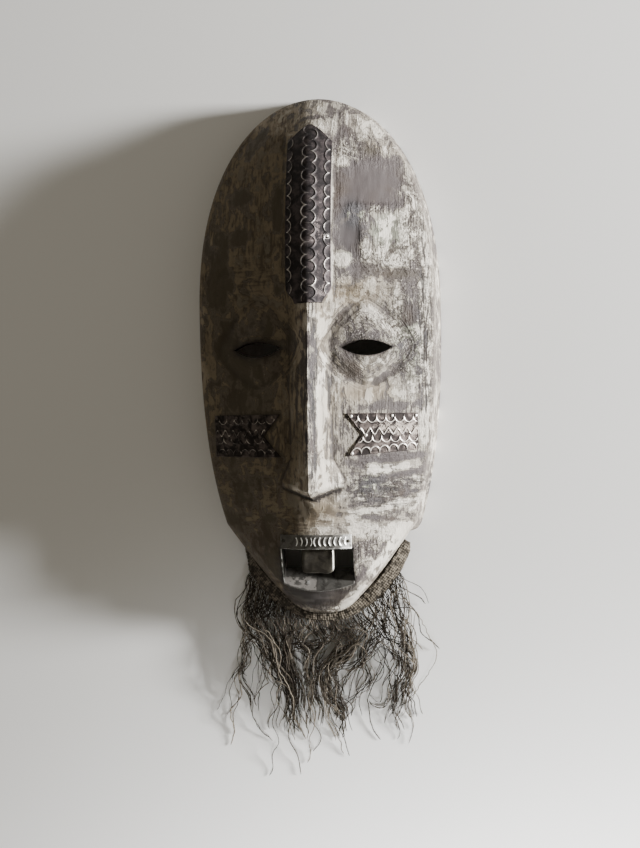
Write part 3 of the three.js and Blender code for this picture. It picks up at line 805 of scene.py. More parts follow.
# %% Store hollows and crests
BEND_STEP = 2.2  # how far apart the heights are compared, mm
around = [(BEND_STEP, 0), (-BEND_STEP, 0), (0, BEND_STEP), (0, -BEND_STEP)]
bend = sum(carved_height(px + dx, py + dy) for dx, dy in around) / 4 - carved_height(px, py)
inside = ease((front_half_width(py) - np.abs(px) - 6) / 4) * outside
# Hollows get less paint and a darker colour in the material: painted shade.
set_value(shell, "hollow", np.clip(bend / 0.7, 0, 1) * inside)
set_value(shell, "crest", np.clip(-bend / 0.7, 0, 1) * inside)
print("points in a hollow:", int(np.sum(bend > 0.35)))

# %% Store which way the brush went
ring = lid_ring(px, py)
turn = np.arctan2(py - EYE_Y, np.abs(px) - EYE_X) + np.where(px > 0, 0, 9)
circle = np.column_stack([1.6 * np.cos(turn), 1.6 * np.sin(turn), ring * 22])
layer = shell.data.attributes.new("ring", "FLOAT_VECTOR", "POINT")
layer.data.foreach_set("vector", circle.astype(np.float32).reshape(-1))
set_value(shell, "ring_share", 0.75 * ease((1.5 - ring) / 0.35) * ease((ring - 0.1) / 0.2))
set_value(shell, "level_share", np.clip(oval_shares(np.abs(px), py, LEVEL_OVALS), 0, 1))
print("points painted round an eye:", int(np.sum(ring < 1.3)))

# %% [markdown]
# ## Helpers for materials
# A Blender material is a net of nodes. Writing each node and link out by hand takes pages, so a
# few helpers add a node and join it in one line. They only save typing: the nets that they build
# can be opened and changed in the Shading workspace like any other.


# %% Nodes and numbers
def join(tree, socket, value):
    """Links value to the socket if it is another node's output, and else stores it there."""
    if isinstance(value, bpy.types.NodeSocket):
        tree.links.new(value, socket)
    else:
        socket.default_value = value


def compute(tree, operation, a, b=0.0):
    made = tree.nodes.new("ShaderNodeMath")
    made.operation = operation
    join(tree, made.inputs[0], a)
    join(tree, made.inputs[1], b)
    return made.outputs[0]


def plus(tree, a, b):
    return compute(tree, "ADD", a, b)


def times(tree, a, b):
    return compute(tree, "MULTIPLY", a, b)


def add_share(tree, value, extra, share, middle=0.5):
    """value plus share times how far extra lies from its middle."""
    off_middle = compute(tree, "SUBTRACT", extra, middle)
    return plus(tree, value, times(tree, off_middle, share))


print("number helpers are ready")


# %% Colours and masks
def tint(tree, share, first, second, way="MIX"):
    """Mixes two colours; share 0 gives the first and 1 the second."""
    made = tree.nodes.new("ShaderNodeMix")
    made.data_type, made.blend_type = "RGBA", way
    join(tree, made.inputs[0], share)
    join(tree, made.inputs[6], first)
    join(tree, made.inputs[7], second)
    return made.outputs[2]


def blend(tree, share, first, second):
    """Mixes two values; share 0 gives the first and 1 the second."""
    made = tree.nodes.new("ShaderNodeMix")
    join(tree, made.inputs[0], share)
    join(tree, made.inputs[2], first)
    join(tree, made.inputs[3], second)
    return made.outputs[0]


def window(tree, value, low, high, first=0.0, second=1.0):
    """A soft step: first below low, second above high."""
    made = tree.nodes.new("ShaderNodeMapRange")
    made.interpolation_type = "SMOOTHSTEP"
    for socket, given in zip(made.inputs, (value, low, high, first, second)):
        join(tree, socket, given)
    return made.outputs[0]


print("colour helpers are ready")


# %% Noise, stored values and relief
def spread(tree, place, scale, stretch=(1, 1, 1), detail=4.0, rough=0.55, warp=0.0):
    """Noise from 0 to 1 at a place in metres. scale is in lumps a metre."""
    mapping = tree.nodes.new("ShaderNodeMapping")
    join(tree, mapping.inputs["Vector"], place)
    mapping.inputs["Scale"].default_value = stretch
    made = tree.nodes.new("ShaderNodeTexNoise")
    tree.links.new(mapping.outputs[0], made.inputs["Vector"])
    made.inputs["Scale"].default_value = scale
    made.inputs["Detail"].default_value = detail
    made.inputs["Roughness"].default_value = rough
    made.inputs["Distortion"].default_value = warp
    return made.outputs["Fac"]


def stored(tree, name, output="Fac"):
    made = tree.nodes.new("ShaderNodeAttribute")
    made.attribute_name = name
    return made.outputs[output]


def own_place(tree):
    return tree.nodes.new("ShaderNodeTexCoord").outputs["Object"]


def relief(tree, height, distance, strength=1.0, normal=None):
    """A Bump node: height from 0 to 1 stands for distance in metres."""
    made = tree.nodes.new("ShaderNodeBump")
    made.inputs["Strength"].default_value = strength
    made.inputs["Distance"].default_value = distance
    join(tree, made.inputs["Height"], height)
    if normal is not None:
        join(tree, made.inputs["Normal"], normal)
    return made.outputs[0]


def new_material(name):
    """An empty Principled material, its node tree and its Principled node."""
    made = bpy.data.materials.new(name)
    made.use_nodes = True
    return made, made.node_tree, made.node_tree.nodes["Principled BSDF"]


def wear_material(thing, material):
    thing.data.materials.clear()
    thing.data.materials.append(material)


print("noise and relief helpers are ready")

# %% [markdown]
# ## Shared effects
# Stained wood grain shows on the face and in the hollow, and every metal piece is tarnished in
# the same way. Each of these is built once as a node group with its own inputs.


# %% Group: wood grain
def new_group(name, inputs, outputs):
    tree = bpy.data.node_groups.new(name, "ShaderNodeTree")
    kinds = {"value": "NodeSocketFloat", "colour": "NodeSocketColor", "vector": "NodeSocketVector"}
    for label, kind, default in inputs:
        socket = tree.interface.new_socket(label, in_out="INPUT", socket_type=kinds[kind])
        if default is not None:
            socket.default_value = default
    for label, kind in outputs:
        tree.interface.new_socket(label, in_out="OUTPUT", socket_type=kinds[kind])
    return tree, tree.nodes.new("NodeGroupInput"), tree.nodes.new("NodeGroupOutput")


def use_group(tree, group, values):
    made = tree.nodes.new("ShaderNodeGroup")
    made.node_tree = group
    for label, value in values.items():
        join(tree, made.inputs[label], value)
    return made.outputs


def wood_grain_group():
    tree, given, result = new_group(
        "wood_grain",
        [
            ("Place", "vector", None),
            ("Early Wood", "colour", (0.2, 0.17, 0.16, 1)),
            ("Late Wood", "colour", (0.08, 0.06, 0.05, 1)),
        ],
        [("Color", "colour"), ("Height", "value")],
    )
    place = given.outputs["Place"]
    fibres = spread(tree, place, 900, (1, 0.03, 1), 5, 0.6)
    bands = spread(tree, place, 110, (1, 0.07, 1), 3, 0.5, 0.4)
    light = plus(tree, times(tree, fibres, 0.6), times(tree, bands, 0.4))
    early = window(tree, light, 0.38, 0.62)
    colour = tint(tree, early, given.outputs["Late Wood"], given.outputs["Early Wood"])
    join(tree, result.inputs["Color"], colour)
    join(tree, result.inputs["Height"], fibres)
    return tree


wood_grain = wood_grain_group()
print("group:", wood_grain.name)

# %% [markdown]
# ## Painted wood
# White clay over stained wood is four layers: the mauve-brown stain with its grain, a thin
# greyish wash, a full cream coat and thick lime-white dabs. Each layer has a mask. The masks take
# the slow paint share from the mesh and add noise drawn out along the strokes, so the dabs end in
# ragged streaks. Each step below is a small function, so the layers can be tried one by one.


# %% Noise in the paint
def brush_strokes(tree, place, fine):
    """Noise drawn out upright, level on the cheeks and brow, and round the eyes."""
    upright = spread(tree, place, 300 * fine, (1, 0.10, 0.3), 5, 0.62, 0.3)
    level = spread(tree, place, 220 * fine, (0.16, 1, 0.3), 5, 0.62, 0.4)
    round_eyes = spread(tree, stored(tree, "ring", "Vector"), 0.62 * fine, (1, 1, 1), 5, 0.6, 0.9)
    flat = blend(tree, stored(tree, "level_share"), upright, level)
    return blend(tree, stored(tree, "ring_share"), flat, round_eyes)


def paint_noise(tree, place):
    """The noises that break up the paint, from broad clouds down to single chips."""
    return {
        "dabs": spread(tree, place, 95, (1, 0.7, 1), 7, 0.54, 0.9),
        "strokes": brush_strokes(tree, place, 1.0),
        "bristles": brush_strokes(tree, place, 2.3),
        "flecks": spread(tree, place, 290, (1, 0.8, 1), 6, 0.6, 0.6),
        "chips": spread(tree, place, 760, (1, 0.7, 1), 4, 0.6, 0.8),
        "clouds": spread(tree, place, 24, (1, 0.8, 1), 3, 0.5),
    }


def paint_plan(tree):
    """The values that are stored on the shell, and masks made of its hue."""
    names = ("clay", "hue", "busy", "outside", "shade_and_grime", "wear", "hollow", "crest")
    plan = {name: stored(tree, name) for name in names}
    plan["streaky"] = window(tree, stored(tree, "streaky"), 0, 1, 0.85, 3.4)
    plan["cooler"] = window(tree, plan["hue"], 0.0, 1.0)
    plan["warmer"] = window(tree, plan["hue"], 0.0, -1.0)
    # Painted shade: the low end of the hue, laid over the whole left half.
    plan["soiled"] = window(tree, plan["hue"], -0.75, -1.0)
    return plan


print("paint noise is ready")


# %% Coats of paint
def paint_coats(tree, noise, plan):
    """Masks of the thin wash, the full coat and the thick dabs, one inside the other."""
    uneven = times(tree, compute(tree, "SUBTRACT", noise["dabs"], 0.5), 2.4)
    uneven = add_share(tree, uneven, noise["strokes"], plan["streaky"])
    uneven = add_share(tree, uneven, noise["bristles"], times(tree, plan["streaky"], 0.7))
    uneven = add_share(tree, uneven, noise["flecks"], 0.8)
    paint = plus(tree, plan["clay"], times(tree, uneven, plan["busy"]))
    # The lower paint share in the hollows is painted shade.
    paint = add_share(tree, paint, plan["crest"], 0.2, 0.0)
    paint = add_share(tree, paint, plan["hollow"], -0.3, 0.0)
    edges = {"wash": (0.26, 0.42), "full": (0.44, 0.55), "thick": (0.74, 0.86)}
    return {coat: window(tree, paint, low, high) for coat, (low, high) in edges.items()}


def washed_wood(tree, noise, plan, coats, grain):
    """The stained wood between the dabs: slate, earthy or brown, with the thin wash over it, and
    warmed and dimmed on the left half as painted shade.
    """
    slate = tint(tree, times(tree, plan["hue"], 0.6), grain, (0.070, 0.072, 0.080, 1))
    earthy = tint(tree, times(tree, plan["warmer"], 0.9), slate, (0.072, 0.061, 0.044, 1))
    cloudy = window(tree, noise["clouds"], 0.48, 0.66, 0.0, 0.8)
    brown = tint(tree, cloudy, earthy, (0.058, 0.043, 0.032, 1))
    washed = tint(tree, times(tree, coats["wash"], 0.75), brown, (0.128, 0.112, 0.102, 1))
    return tint(tree, plan["soiled"], washed, (0.97, 0.92, 0.77, 1), "MULTIPLY")


def full_coat(tree, noise, plan):
    """The mottled cream of the full coat, greener or warmer, and darker and duller on the left half
    as painted shade.
    """
    mottle = add_share(tree, add_share(tree, noise["dabs"], noise["strokes"], 0.9), noise["bristles"], 0.6)
    light = window(tree, mottle, 0.34, 0.60)
    cream = tint(tree, light, (0.150, 0.133, 0.112, 1), (0.375, 0.345, 0.295, 1))
    cool = tint(tree, plan["cooler"], cream, (0.86, 0.98, 0.92, 1), "MULTIPLY")
    warm = tint(tree, plan["warmer"], cool, (0.90, 0.81, 0.69, 1), "MULTIPLY")
    return tint(tree, plan["soiled"], warm, (0.60, 0.585, 0.54, 1), "MULTIPLY")


def thick_dabs(tree, plan):
    """The lime white of the thickest dabs, dimmed on the left half as painted shade."""
    lime = tint(tree, plan["warmer"], (0.66, 0.62, 0.55, 1), (0.36, 0.32, 0.26, 1))
    return tint(tree, plan["soiled"], lime, (0.15, 0.13, 0.10, 1))


print("coats of paint are ready")

# %% Chips, cracks and relief of the paint
CRACKS = [("strokes", 0.41), ("dabs", 0.56), ("strokes", 0.6), ("dabs", 0.45)]


def chipped(tree, noise, plan, colour, lime):
    """White flecks, dark specks, sooty streaks, a rubbed edge and fine cracks over a colour."""
    broken = times(tree, window(tree, plan["busy"], 0.55, 1.1), window(tree, plan["clay"], 0.15, 0.45))
    flecks = window(tree, noise["chips"], 0.585, 0.635, 0.0, 0.85)
    colour = tint(tree, times(tree, flecks, broken), colour, lime)
    specks = window(tree, noise["chips"], 0.425, 0.375, 0.0, 0.85)
    colour = tint(tree, times(tree, specks, broken), colour, (0.052, 0.043, 0.037, 1))
    streaks = window(tree, plan["streaky"], 1.2, 3.0, 0.0, 0.85)
    soot = times(tree, window(tree, noise["strokes"], 0.49, 0.42), streaks)
    colour = tint(tree, soot, colour, (0.040, 0.038, 0.039, 1))
    colour = tint(tree, times(tree, plan["wear"], 0.35), colour, (0.22, 0.19, 0.16, 1))
    for name, level in CRACKS:
        off_level = compute(tree, "ABSOLUTE", compute(tree, "SUBTRACT", noise[name], level))
        crack = times(tree, window(tree, off_level, 0.007, 0.024, 0.85, 0.0), broken)
        colour = tint(tree, crack, colour, (0.050, 0.040, 0.034, 1))
    return colour


def paint_relief(tree, noise, plan, coats, grain_height):
    """Normals of the brushed paint, with the wood's fibres under it."""
    lumps = plus(tree, noise["flecks"], add_share(tree, noise["strokes"], noise["bristles"], 0.6))
    height = times(tree, lumps, window(tree, plan["busy"], 0.2, 1.2, 0.0, 0.95))
    height = plus(tree, height, times(tree, coats["full"], 0.25))
    height = plus(tree, height, times(tree, coats["thick"], 0.2))
    ridges = relief(tree, times(tree, height, plan["outside"]), 0.0028)
    return relief(tree, grain_height, 0.00012, 0.5, ridges)


print("cracks:", len(CRACKS))

# %% Painted wood material
STAIN = {"Early Wood": (0.083, 0.071, 0.070, 1), "Late Wood": (0.072, 0.060, 0.059, 1)}
BARE_WOOD = {"Early Wood": (0.105, 0.07, 0.046, 1), "Late Wood": (0.045, 0.03, 0.021, 1)}


def painted_wood():
    material, tree, shader = new_material("painted_wood")
    place = own_place(tree)
    noise, plan = paint_noise(tree, place), paint_plan(tree)
    coats = paint_coats(tree, noise, plan)
    stain = use_group(tree, wood_grain, {"Place": place, **STAIN})
    bare = use_group(tree, wood_grain, {"Place": place, **BARE_WOOD})
    lime = thick_dabs(tree, plan)
    face = washed_wood(tree, noise, plan, coats, stain["Color"])
    face = tint(tree, times(tree, coats["full"], 0.88), face, full_coat(tree, noise, plan))
    face = tint(tree, times(tree, coats["thick"], 0.8), face, lime)
    face = chipped(tree, noise, plan, face, lime)
    # Painted shade in the hollows.
    face = tint(tree, times(tree, plan["hollow"], 0.7), face, (0.035, 0.027, 0.021, 1))
    skin = tint(tree, plan["outside"], bare["Color"], face)
    # Painted shade at the openings and under the nose, with the darker ovals.
    skin = tint(tree, times(tree, plan["shade_and_grime"], 0.85), skin, (0.016, 0.012, 0.010, 1))
    join(tree, shader.inputs["Base Color"], skin)
    join(tree, shader.inputs["Roughness"], window(tree, coats["full"], 0, 1, 0.62, 0.9))
    join(tree, shader.inputs["Normal"], paint_relief(tree, noise, plan, coats, stain["Height"]))
    shader.inputs["Specular IOR Level"].default_value = 0.3
    return material


wood = painted_wood()
wear_material(shell, wood)
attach(shell, "root")
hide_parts("mask_shell")
print("shell piece:", shell.name, "with", len(wood.node_tree.nodes), "nodes")

# %% [markdown]
# ## Tarnished sheet metal
# The ornaments are thin sheet, stamped from behind and nailed on. Their raised lines are rubbed
# bright, while dirt and tarnish stay in the hollows between them. The stamp's height is stored on
# each mesh, and one shared group turns it into a colour, a roughness and a bump height.


# %% Group: tarnish
def tarnish_group():
    tree, given, result = new_group(
        "tarnish",
        [
            ("Place", "vector", None),
            ("Raised", "value", 0.0),
            ("Smear", "value", 0.0),
            ("Dull", "colour", (0.05, 0.045, 0.045, 1)),
            ("Rubbed", "colour", (0.5, 0.46, 0.42, 1)),
            ("Spots", "colour", (0.2, 0.18, 0.17, 1)),
            ("Paint", "colour", (0.5, 0.44, 0.38, 1)),
        ],
        [("Color", "colour"), ("Roughness", "value"), ("Metallic", "value"), ("Height", "value")],
    )
    place = given.outputs["Place"]
    blots = spread(tree, place, 130, (1, 1, 1), 6, 0.6, 0.4)
    grit = spread(tree, place, 900, (1, 1, 1), 4, 0.6)
    worn = add_share(tree, given.outputs["Raised"], grit, 0.5)
    worn = window(tree, add_share(tree, worn, blots, 0.6), 0.35, 0.85)
    ground = tint(tree, window(tree, blots, 0.42, 0.66), given.outputs["Dull"], given.outputs["Spots"])
    metal = tint(tree, worn, ground, given.outputs["Rubbed"])
    loose = add_share(tree, add_share(tree, given.outputs["Smear"], blots, 1.6), grit, 1.2)
    paint = window(tree, loose, 0.42, 0.62, 0.0, 0.85)
    join(tree, result.inputs["Color"], tint(tree, paint, metal, given.outputs["Paint"]))
    join(tree, result.inputs["Roughness"], blend(tree, paint, window(tree, worn, 0, 1, 0.6, 0.36), 0.85))
    join(tree, result.inputs["Metallic"], window(tree, paint, 0.0, 0.8, 0.8, 0.0))
    join(tree, result.inputs["Height"], plus(tree, grit, times(tree, blots, 0.8)))
    return tree


tarnish = tarnish_group()
print("group:", tarnish.name)


# %% Metal materials
def metal_material(name, dull, spots, rubbed, paint=(0.46, 0.40, 0.345, 1)):
    material, tree, shader = new_material(name)
    stamps = {"Raised": stored(tree, "raised"), "Smear": stored(tree, "smear")}
    colours = {"Dull": dull, "Spots": spots, "Rubbed": rubbed, "Paint": paint}
    made = use_group(tree, tarnish, {"Place": own_place(tree), **stamps, **colours})
    for label in ("Roughness", "Metallic"):
        join(tree, shader.inputs[label], made[label])
    join(tree, shader.inputs["Base Color"], made["Color"])
    join(tree, shader.inputs["Normal"], relief(tree, made["Height"], 0.0002, 0.7))
    return material


dark_sheet = metal_material(
    "dark_sheet",
    dull=(0.024, 0.021, 0.022, 1),
    spots=(0.080, 0.066, 0.067, 1),
    rubbed=(0.5, 0.465, 0.44, 1),
    paint=(0.20, 0.165, 0.158, 1),
)
cheek_metal = metal_material(
    "cheek_sheet",
    dull=(0.022, 0.018, 0.017, 1),
    spots=(0.13, 0.107, 0.098, 1),
    rubbed=(0.84, 0.78, 0.72, 1),
)
lip_metal = metal_material(
    "lip_sheet",
    dull=(0.15, 0.145, 0.135, 1),
    spots=(0.055, 0.052, 0.047, 1),
    rubbed=(0.93, 0.93, 0.91, 1),
    paint=(0.19, 0.178, 0.165, 1),
)
tooth_metal = metal_material(
    "tooth_sheet",
    dull=(0.040, 0.036, 0.030, 1),
    spots=(0.075, 0.068, 0.055, 1),
    rubbed=(0.80, 0.79, 0.73, 1),
)
print("metals:", [m.name for m in (dark_sheet, cheek_metal, lip_metal, tooth_metal)])

# %% [markdown]
# ## Embossed sheets
# A stamped line is a soft round ridge along a curve. For a row of scallops the ridge's distance
# is found from the scallop's formula, so thousands of mesh points get their height at once. The
# sheets are fine grids laid on the carving with the same hairline gap as in the CAD model.

# %% Stamped lines
LINE_WIDTH = 0.56


def ridge_line(distance, width=LINE_WIDTH):
    """Height from 0 to 1 of a raised line at a distance from its middle."""
    return np.exp(-((distance / width) ** 2))


def scallops(along, across, pitch, depth, start=0.0):
    """A line of arcs that bulge towards +across and meet in cusps, as a height from 0 to 1."""
    t = (along - start) / pitch
    phase = t - np.floor(t)
    arc = 1 - (2 * phase - 1) ** 2
    curve = depth * np.sqrt(np.clip(arc, 0, 1))
    steep = np.maximum(np.sqrt(np.clip(arc, 0.02, 1)), 0.14)
    rise = depth * (1 - 2 * phase) * 2 / pitch / steep
    return ridge_line((across - curve) / np.hypot(1, rise))


print("a line is", round(2 * LINE_WIDTH, 1), "mm wide at a third of its height")

# %% Sheet laid on the face
GAP = 0.45  # hairline gap between the wood and a sheet, mm
SHEET = 1.0  # thickness of a sheet
STAMP_HEIGHT = 0.9


def even_rub(x, y):
    return 0.9 + 0 * x


def no_ground_glare(x, y):
    return 0 * x


def laid_sheet(name, x, y, stamp, height=STAMP_HEIGHT, rub=even_rub, ground_glare=no_ground_glare):
    """A thin plate on the face. rub(x, y) says how bright its lines are; the last function adds a
    painted highlight to its ground.
    """
    ground = face_height(x, y)
    upper = np.stack([x, y, ground + GAP + SHEET + height * stamp], -1)
    lower = np.stack([x, y, ground + GAP], -1)
    made = closed_plate(name, upper, lower)
    px, py, pz = plan_points(made).T
    raised = np.clip((pz - face_height(px, py) - GAP - SHEET) / height, 0, 1)
    set_value(made, "raised", raised * rub(px, py) + ground_glare(px, py))
    return made


print("sheets lie", GAP, "mm over the wood")

# %% [markdown]
# ## The forehead strip
# A long dark sheet is folded over the forehead's ridge, with four columns of stamped scallops and
# cut corners at its lower end. A flat pattern could be wrapped on with a modifier, but a grid that
# takes its height from the face bends with the ridge by itself and keeps its outline exact.

# %% Pattern of the strip
STRIP_TOP_Y, STRIP_LOW_Y, STRIP_HALF, STRIP_CORNER = 211, 42.5, 21, 14.5
STRIP_PITCH = 11.4


def strip_half_width(y):
    top = np.clip((STRIP_TOP_Y - y) / 17, 0, 1)
    corner = ease((STRIP_LOW_Y + STRIP_CORNER - y) / STRIP_CORNER)
    return between(1.5, STRIP_HALF, top**0.8) - 8 * corner


def forehead_stamp(x, y):
    """Two outer columns that bulge inwards, two inner ones, an edge line and a ring round the nail."""
    half = strip_half_width(y)
    inside = ease((half - 0.8 - np.abs(x)) / 1.0)
    outer_right = scallops(y, 20.4 - x, STRIP_PITCH, 5.2, 3)
    outer_left = scallops(y, 20.4 + x, STRIP_PITCH, 5.2, 5)
    inner_left = scallops(y, -(x - 0.4), STRIP_PITCH, 5.8, 6)
    inner_right = scallops(y, x - 2.0, STRIP_PITCH, 5.8, 12)
    rows = np.maximum.reduce([outer_right, outer_left, inner_left, inner_right]) * inside
    edge_line = 0.3 * ridge_line(np.abs(x) - half + 0.5, 0.5)
    ring = ridge_line(np.hypot(x - 17.5, y - 103) - 2.6, 0.5)
    return np.maximum.reduce([rows, edge_line, ring]) * ease((y - STRIP_LOW_Y - 0.5) / 2)


def strip_rub_and_glint(x, y):
    """The raised lines are dullest near the strip's top, and a little brighter on its shaded left side
    as painted light.
    """
    side = between(1.1, 1.0, ease((x + 13) / 12))
    low = between(0.8, 1.0, ease((185 - y) / 60))
    return side * low * (0.72 + 0.35 * soft_noise(x, y, (4, 5), 46))


print("strip:", 2 * STRIP_HALF, "mm wide and", STRIP_TOP_Y - STRIP_LOW_Y, "mm long")

# %% Forehead strip
# Clay smears on the strip, written as the ovals of the paint plan.
STRIP_SMEARS = [
    (9, 105, 5, 20, 0, 0.42),
    (13, 62, 5, 14, 0, 0.40),
    (11, 150, 5, 16, 0, 0.22),
    (12, 52, 9, 5, 0, 0.3),
]
strip_rows, strip_columns = np.linspace(STRIP_LOW_Y, STRIP_TOP_Y, 300), np.linspace(-1, 1, 91)
strip_y, strip_share = np.meshgrid(strip_rows, strip_columns, indexing="ij")
strip_x = strip_share * strip_half_width(strip_y)
strip = laid_sheet("forehead_sheet", strip_x, strip_y, forehead_stamp(strip_x, strip_y), rub=strip_rub_and_glint)
set_value(strip, "smear", oval_shares(*plan_points(strip).T[:2], STRIP_SMEARS))
wear_material(strip, dark_sheet)
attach(strip, "root")
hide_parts("forehead_strip")
print("forehead sheet:", len(strip.data.polygons), "faces")

# %% [markdown]
# ## The cheek plates
# Each cheek wears a thin plate with a swallow-tail notch towards the nose. The two differ a little
# in outline, as hand-cut sheets do, so one function makes both from a short list of measures. The
# right one is rubbed bright and smeared with clay, and the left one's lines are dulled as painted shade.


# %% Cheek plates
PLATE_TOP, PLATE_PITCH = -57.5, 8.1
# Inner ends at the notch's points and at its bottom, outer end, and the lower edge's two ends.
PLATES = {
    "right": {"side": 1, "inner": 32.3, "notch": 46, "outer": 95.3, "low": (-96.5, -91.5)},
    "left": {"side": -1, "inner": 28.8, "notch": 45.5, "outer": 96, "low": (-96.8, -96)},
}


def cheek_stamp(out, drop, deep):
    """Three rows of scallops and one zigzag; out runs along the plate, drop down it."""
    top = scallops(out, drop - 3.2, PLATE_PITCH, 5.2, 2)
    middle = scallops(out, drop - 21.3, PLATE_PITCH, 5.2, 6)
    bottom = scallops(out, deep - 1.4 - drop, PLATE_PITCH, 5.6, 4)
    wave = np.abs(((out / PLATE_PITCH) % 1) * 2 - 1)
    zigzag = ridge_line((drop - 14.0 - 5.4 * ease(wave)) * 0.55)
    return np.maximum.reduce([top, middle, bottom, zigzag])


def plate_rub_and_shade(x, y):
    """Lines rubbed bright on the right cheek, and dulled on the left one as painted shade."""
    return np.where(x > 0, 0.95, 0.52) * (1 + 0.35 * soft_noise(x, y, (3, 3), 47))


def smeared(spots):
    """Share of clay on a plate: much on the right one's outer end, none by a notch or on the left."""
    x, y, _ = spots.T
    return ease((x - 44) / 22) * (0.30 + 0.42 * np.exp(-(((y + 71) / 6.5) ** 2))) - 0.1


print("plates:", list(PLATES))


# %% Make both plates
def cheek_sheet(word, side, inner, notch, outer, low):
    up_share, out_share = np.meshgrid(np.linspace(0, 1, 92), np.linspace(0, 1, 140), indexing="ij")
    tail = between(notch, inner, np.abs(2 * up_share - 1))
    out_x = between(tail, outer, out_share)
    bottom = between(low[0], low[1], out_share)
    y = between(bottom, PLATE_TOP, up_share)
    stamp = cheek_stamp(out_x, PLATE_TOP - y, PLATE_TOP - bottom)
    margin = np.minimum.reduce([out_x - tail, outer - out_x, PLATE_TOP - y, y - bottom])
    stamp = np.maximum(stamp * ease(margin / 1.2), 0.3 * ridge_line(margin - 0.5, 0.5))
    made = laid_sheet(f"cheek_sheet_{word}", side * out_x, y, stamp, rub=plate_rub_and_shade)
    set_value(made, "smear", smeared(plan_points(made)))
    wear_material(made, cheek_metal)
    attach(made, "root")
    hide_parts(f"cheek_plate_{word}")
    return made


plates = [cheek_sheet(word, **values) for word, values in PLATES.items()]
print("cheek sheets:", [len(p.data.polygons) for p in plates])

# %% [markdown]
# ## The mouth
# The mouth is a box cut through the wood. A thin strip crosses it above, stamped with crescents
# that turn their backs to the middle. Its right end is made bright all over as a painted highlight.
# It is laid on the face by the same function as the other sheets, so it follows the swelling of the
# muzzle.

# %% Pattern of the upper lip
LIP_MIDDLE_Y, CRESCENT_PITCH, CRESCENT_HALF = -174.8, 4.6, 4.2


def upper_lip_stamp(x, y):
    """A row of crescents that turn their backs to the middle, and a folded lower edge."""
    from_turn = x + 1.5
    from_middle = y - LIP_MIDDLE_Y
    phase = (from_turn / CRESCENT_PITCH) % 1 - 0.5
    bow = -1.5 * np.sign(from_turn) * np.cos(np.clip(from_middle / CRESCENT_HALF, -1, 1) * math.pi / 2)
    in_row = ease((4.5 - np.abs(from_middle)) / 1) * ease((24.5 - np.abs(x - 4.5)) / 2)
    crescents = ridge_line((phase * CRESCENT_PITCH - bow) * 0.9, 0.55) * in_row
    return np.maximum(crescents, 0.4 * ridge_line(y - MOUTH_TOP, 0.6))


def lip_rub(x, y):
    return between(0.95, 1.0, ease((x + 12) / 24)) * (0.85 + 0.3 * soft_noise(x, y, (3, 4), 48))


def lip_glare(x, y):
    """The strip's right end is made bright all over: a painted highlight."""
    return (0.12 + 0.9 * ease((x - 22) / 6)) * (0.8 + 0.5 * soft_noise(x, y, (3, 5), 55))


print("crescents:", CRESCENT_PITCH, "mm apart")

# %% Upper lip
LIP_LOW_Y, LIP_TOP_Y, LIP_HALF = -181.8, -168.5, 33.2
lip_rows, lip_columns = np.linspace(LIP_LOW_Y, LIP_TOP_Y, 34), np.linspace(-LIP_HALF, LIP_HALF, 150)
lip_y, lip_x = np.meshgrid(lip_rows, lip_columns, indexing="ij")
lip_stamp = upper_lip_stamp(lip_x, lip_y)
lip_strip = laid_sheet("upper_lip_sheet", lip_x, lip_y, lip_stamp, 1.0, lip_rub, lip_glare)
wear_material(lip_strip, lip_metal)
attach(lip_strip, "root")
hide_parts("upper_lip_strip")
print("upper lip:", len(lip_strip.data.polygons), "faces")

# %% [markdown]
# ## The sheet in the mouth
# A folded sheet makes the mouth's sloping floor, and its left side is bent up against the wood.
# The floor is a grid that slopes outwards until it stands just proud of the wood, with a stamped
# star, a lapped joint and a bright front edge. The bent side is a second small plate.

# %% Slope of the floor
slope = np.array([MOUTH_FRONT - MOUTH_BACK, MOUTH_FRONT_Z - MOUTH_BACK_Z])
slope = slope / np.linalg.norm(slope)


def lip_run(x):
    """How far the sloping sheet runs at x until it stands just proud of the wood."""
    run = np.full_like(x, 5.0)
    for _ in range(200):
        wood_top = face_height(x, MOUTH_BACK + slope[0] * run) + 2
        run = np.where(MOUTH_BACK_Z + slope[1] * run < wood_top, run + 0.25, run)
    return run


floor_half = MOUTH_HALF - 0.6
floor_rows, floor_columns = np.linspace(1, 0, 44), np.linspace(-floor_half, floor_half, 110)
run_share, floor_x = np.meshgrid(floor_rows, floor_columns, indexing="ij")
run = lip_run(floor_x[0])[None, :] * run_share
floor_y, floor_z = MOUTH_BACK + slope[0] * run, MOUTH_BACK_Z + slope[1] * run
print("the floor runs", round(float(run.min()), 1), "to", round(float(run.max()), 1), "mm outwards")

# %% Floor of the mouth
STAR_HEIGHT = 0.6


def floor_stamp(x, along):
    """A stamped star, a lapped joint and a bright front edge."""
    u, v = x + 10.5, along - 0.62 * along.max()
    rays = np.maximum(ridge_line(u - v, 0.6), ridge_line(u + v, 0.6))
    star = 0.8 * np.maximum(rays, ridge_line(u, 0.5)) * ease((3.2 - np.hypot(u, v)) / 0.8)
    lap = 0.25 * ease((x + 2) / 0.8) * ease((7 - x) / 0.8)
    front_edge = 0.4 * ridge_line(along - along.max(0)[None, :] + 0.4, 0.6)
    return np.maximum.reduce([star, lap, front_edge])


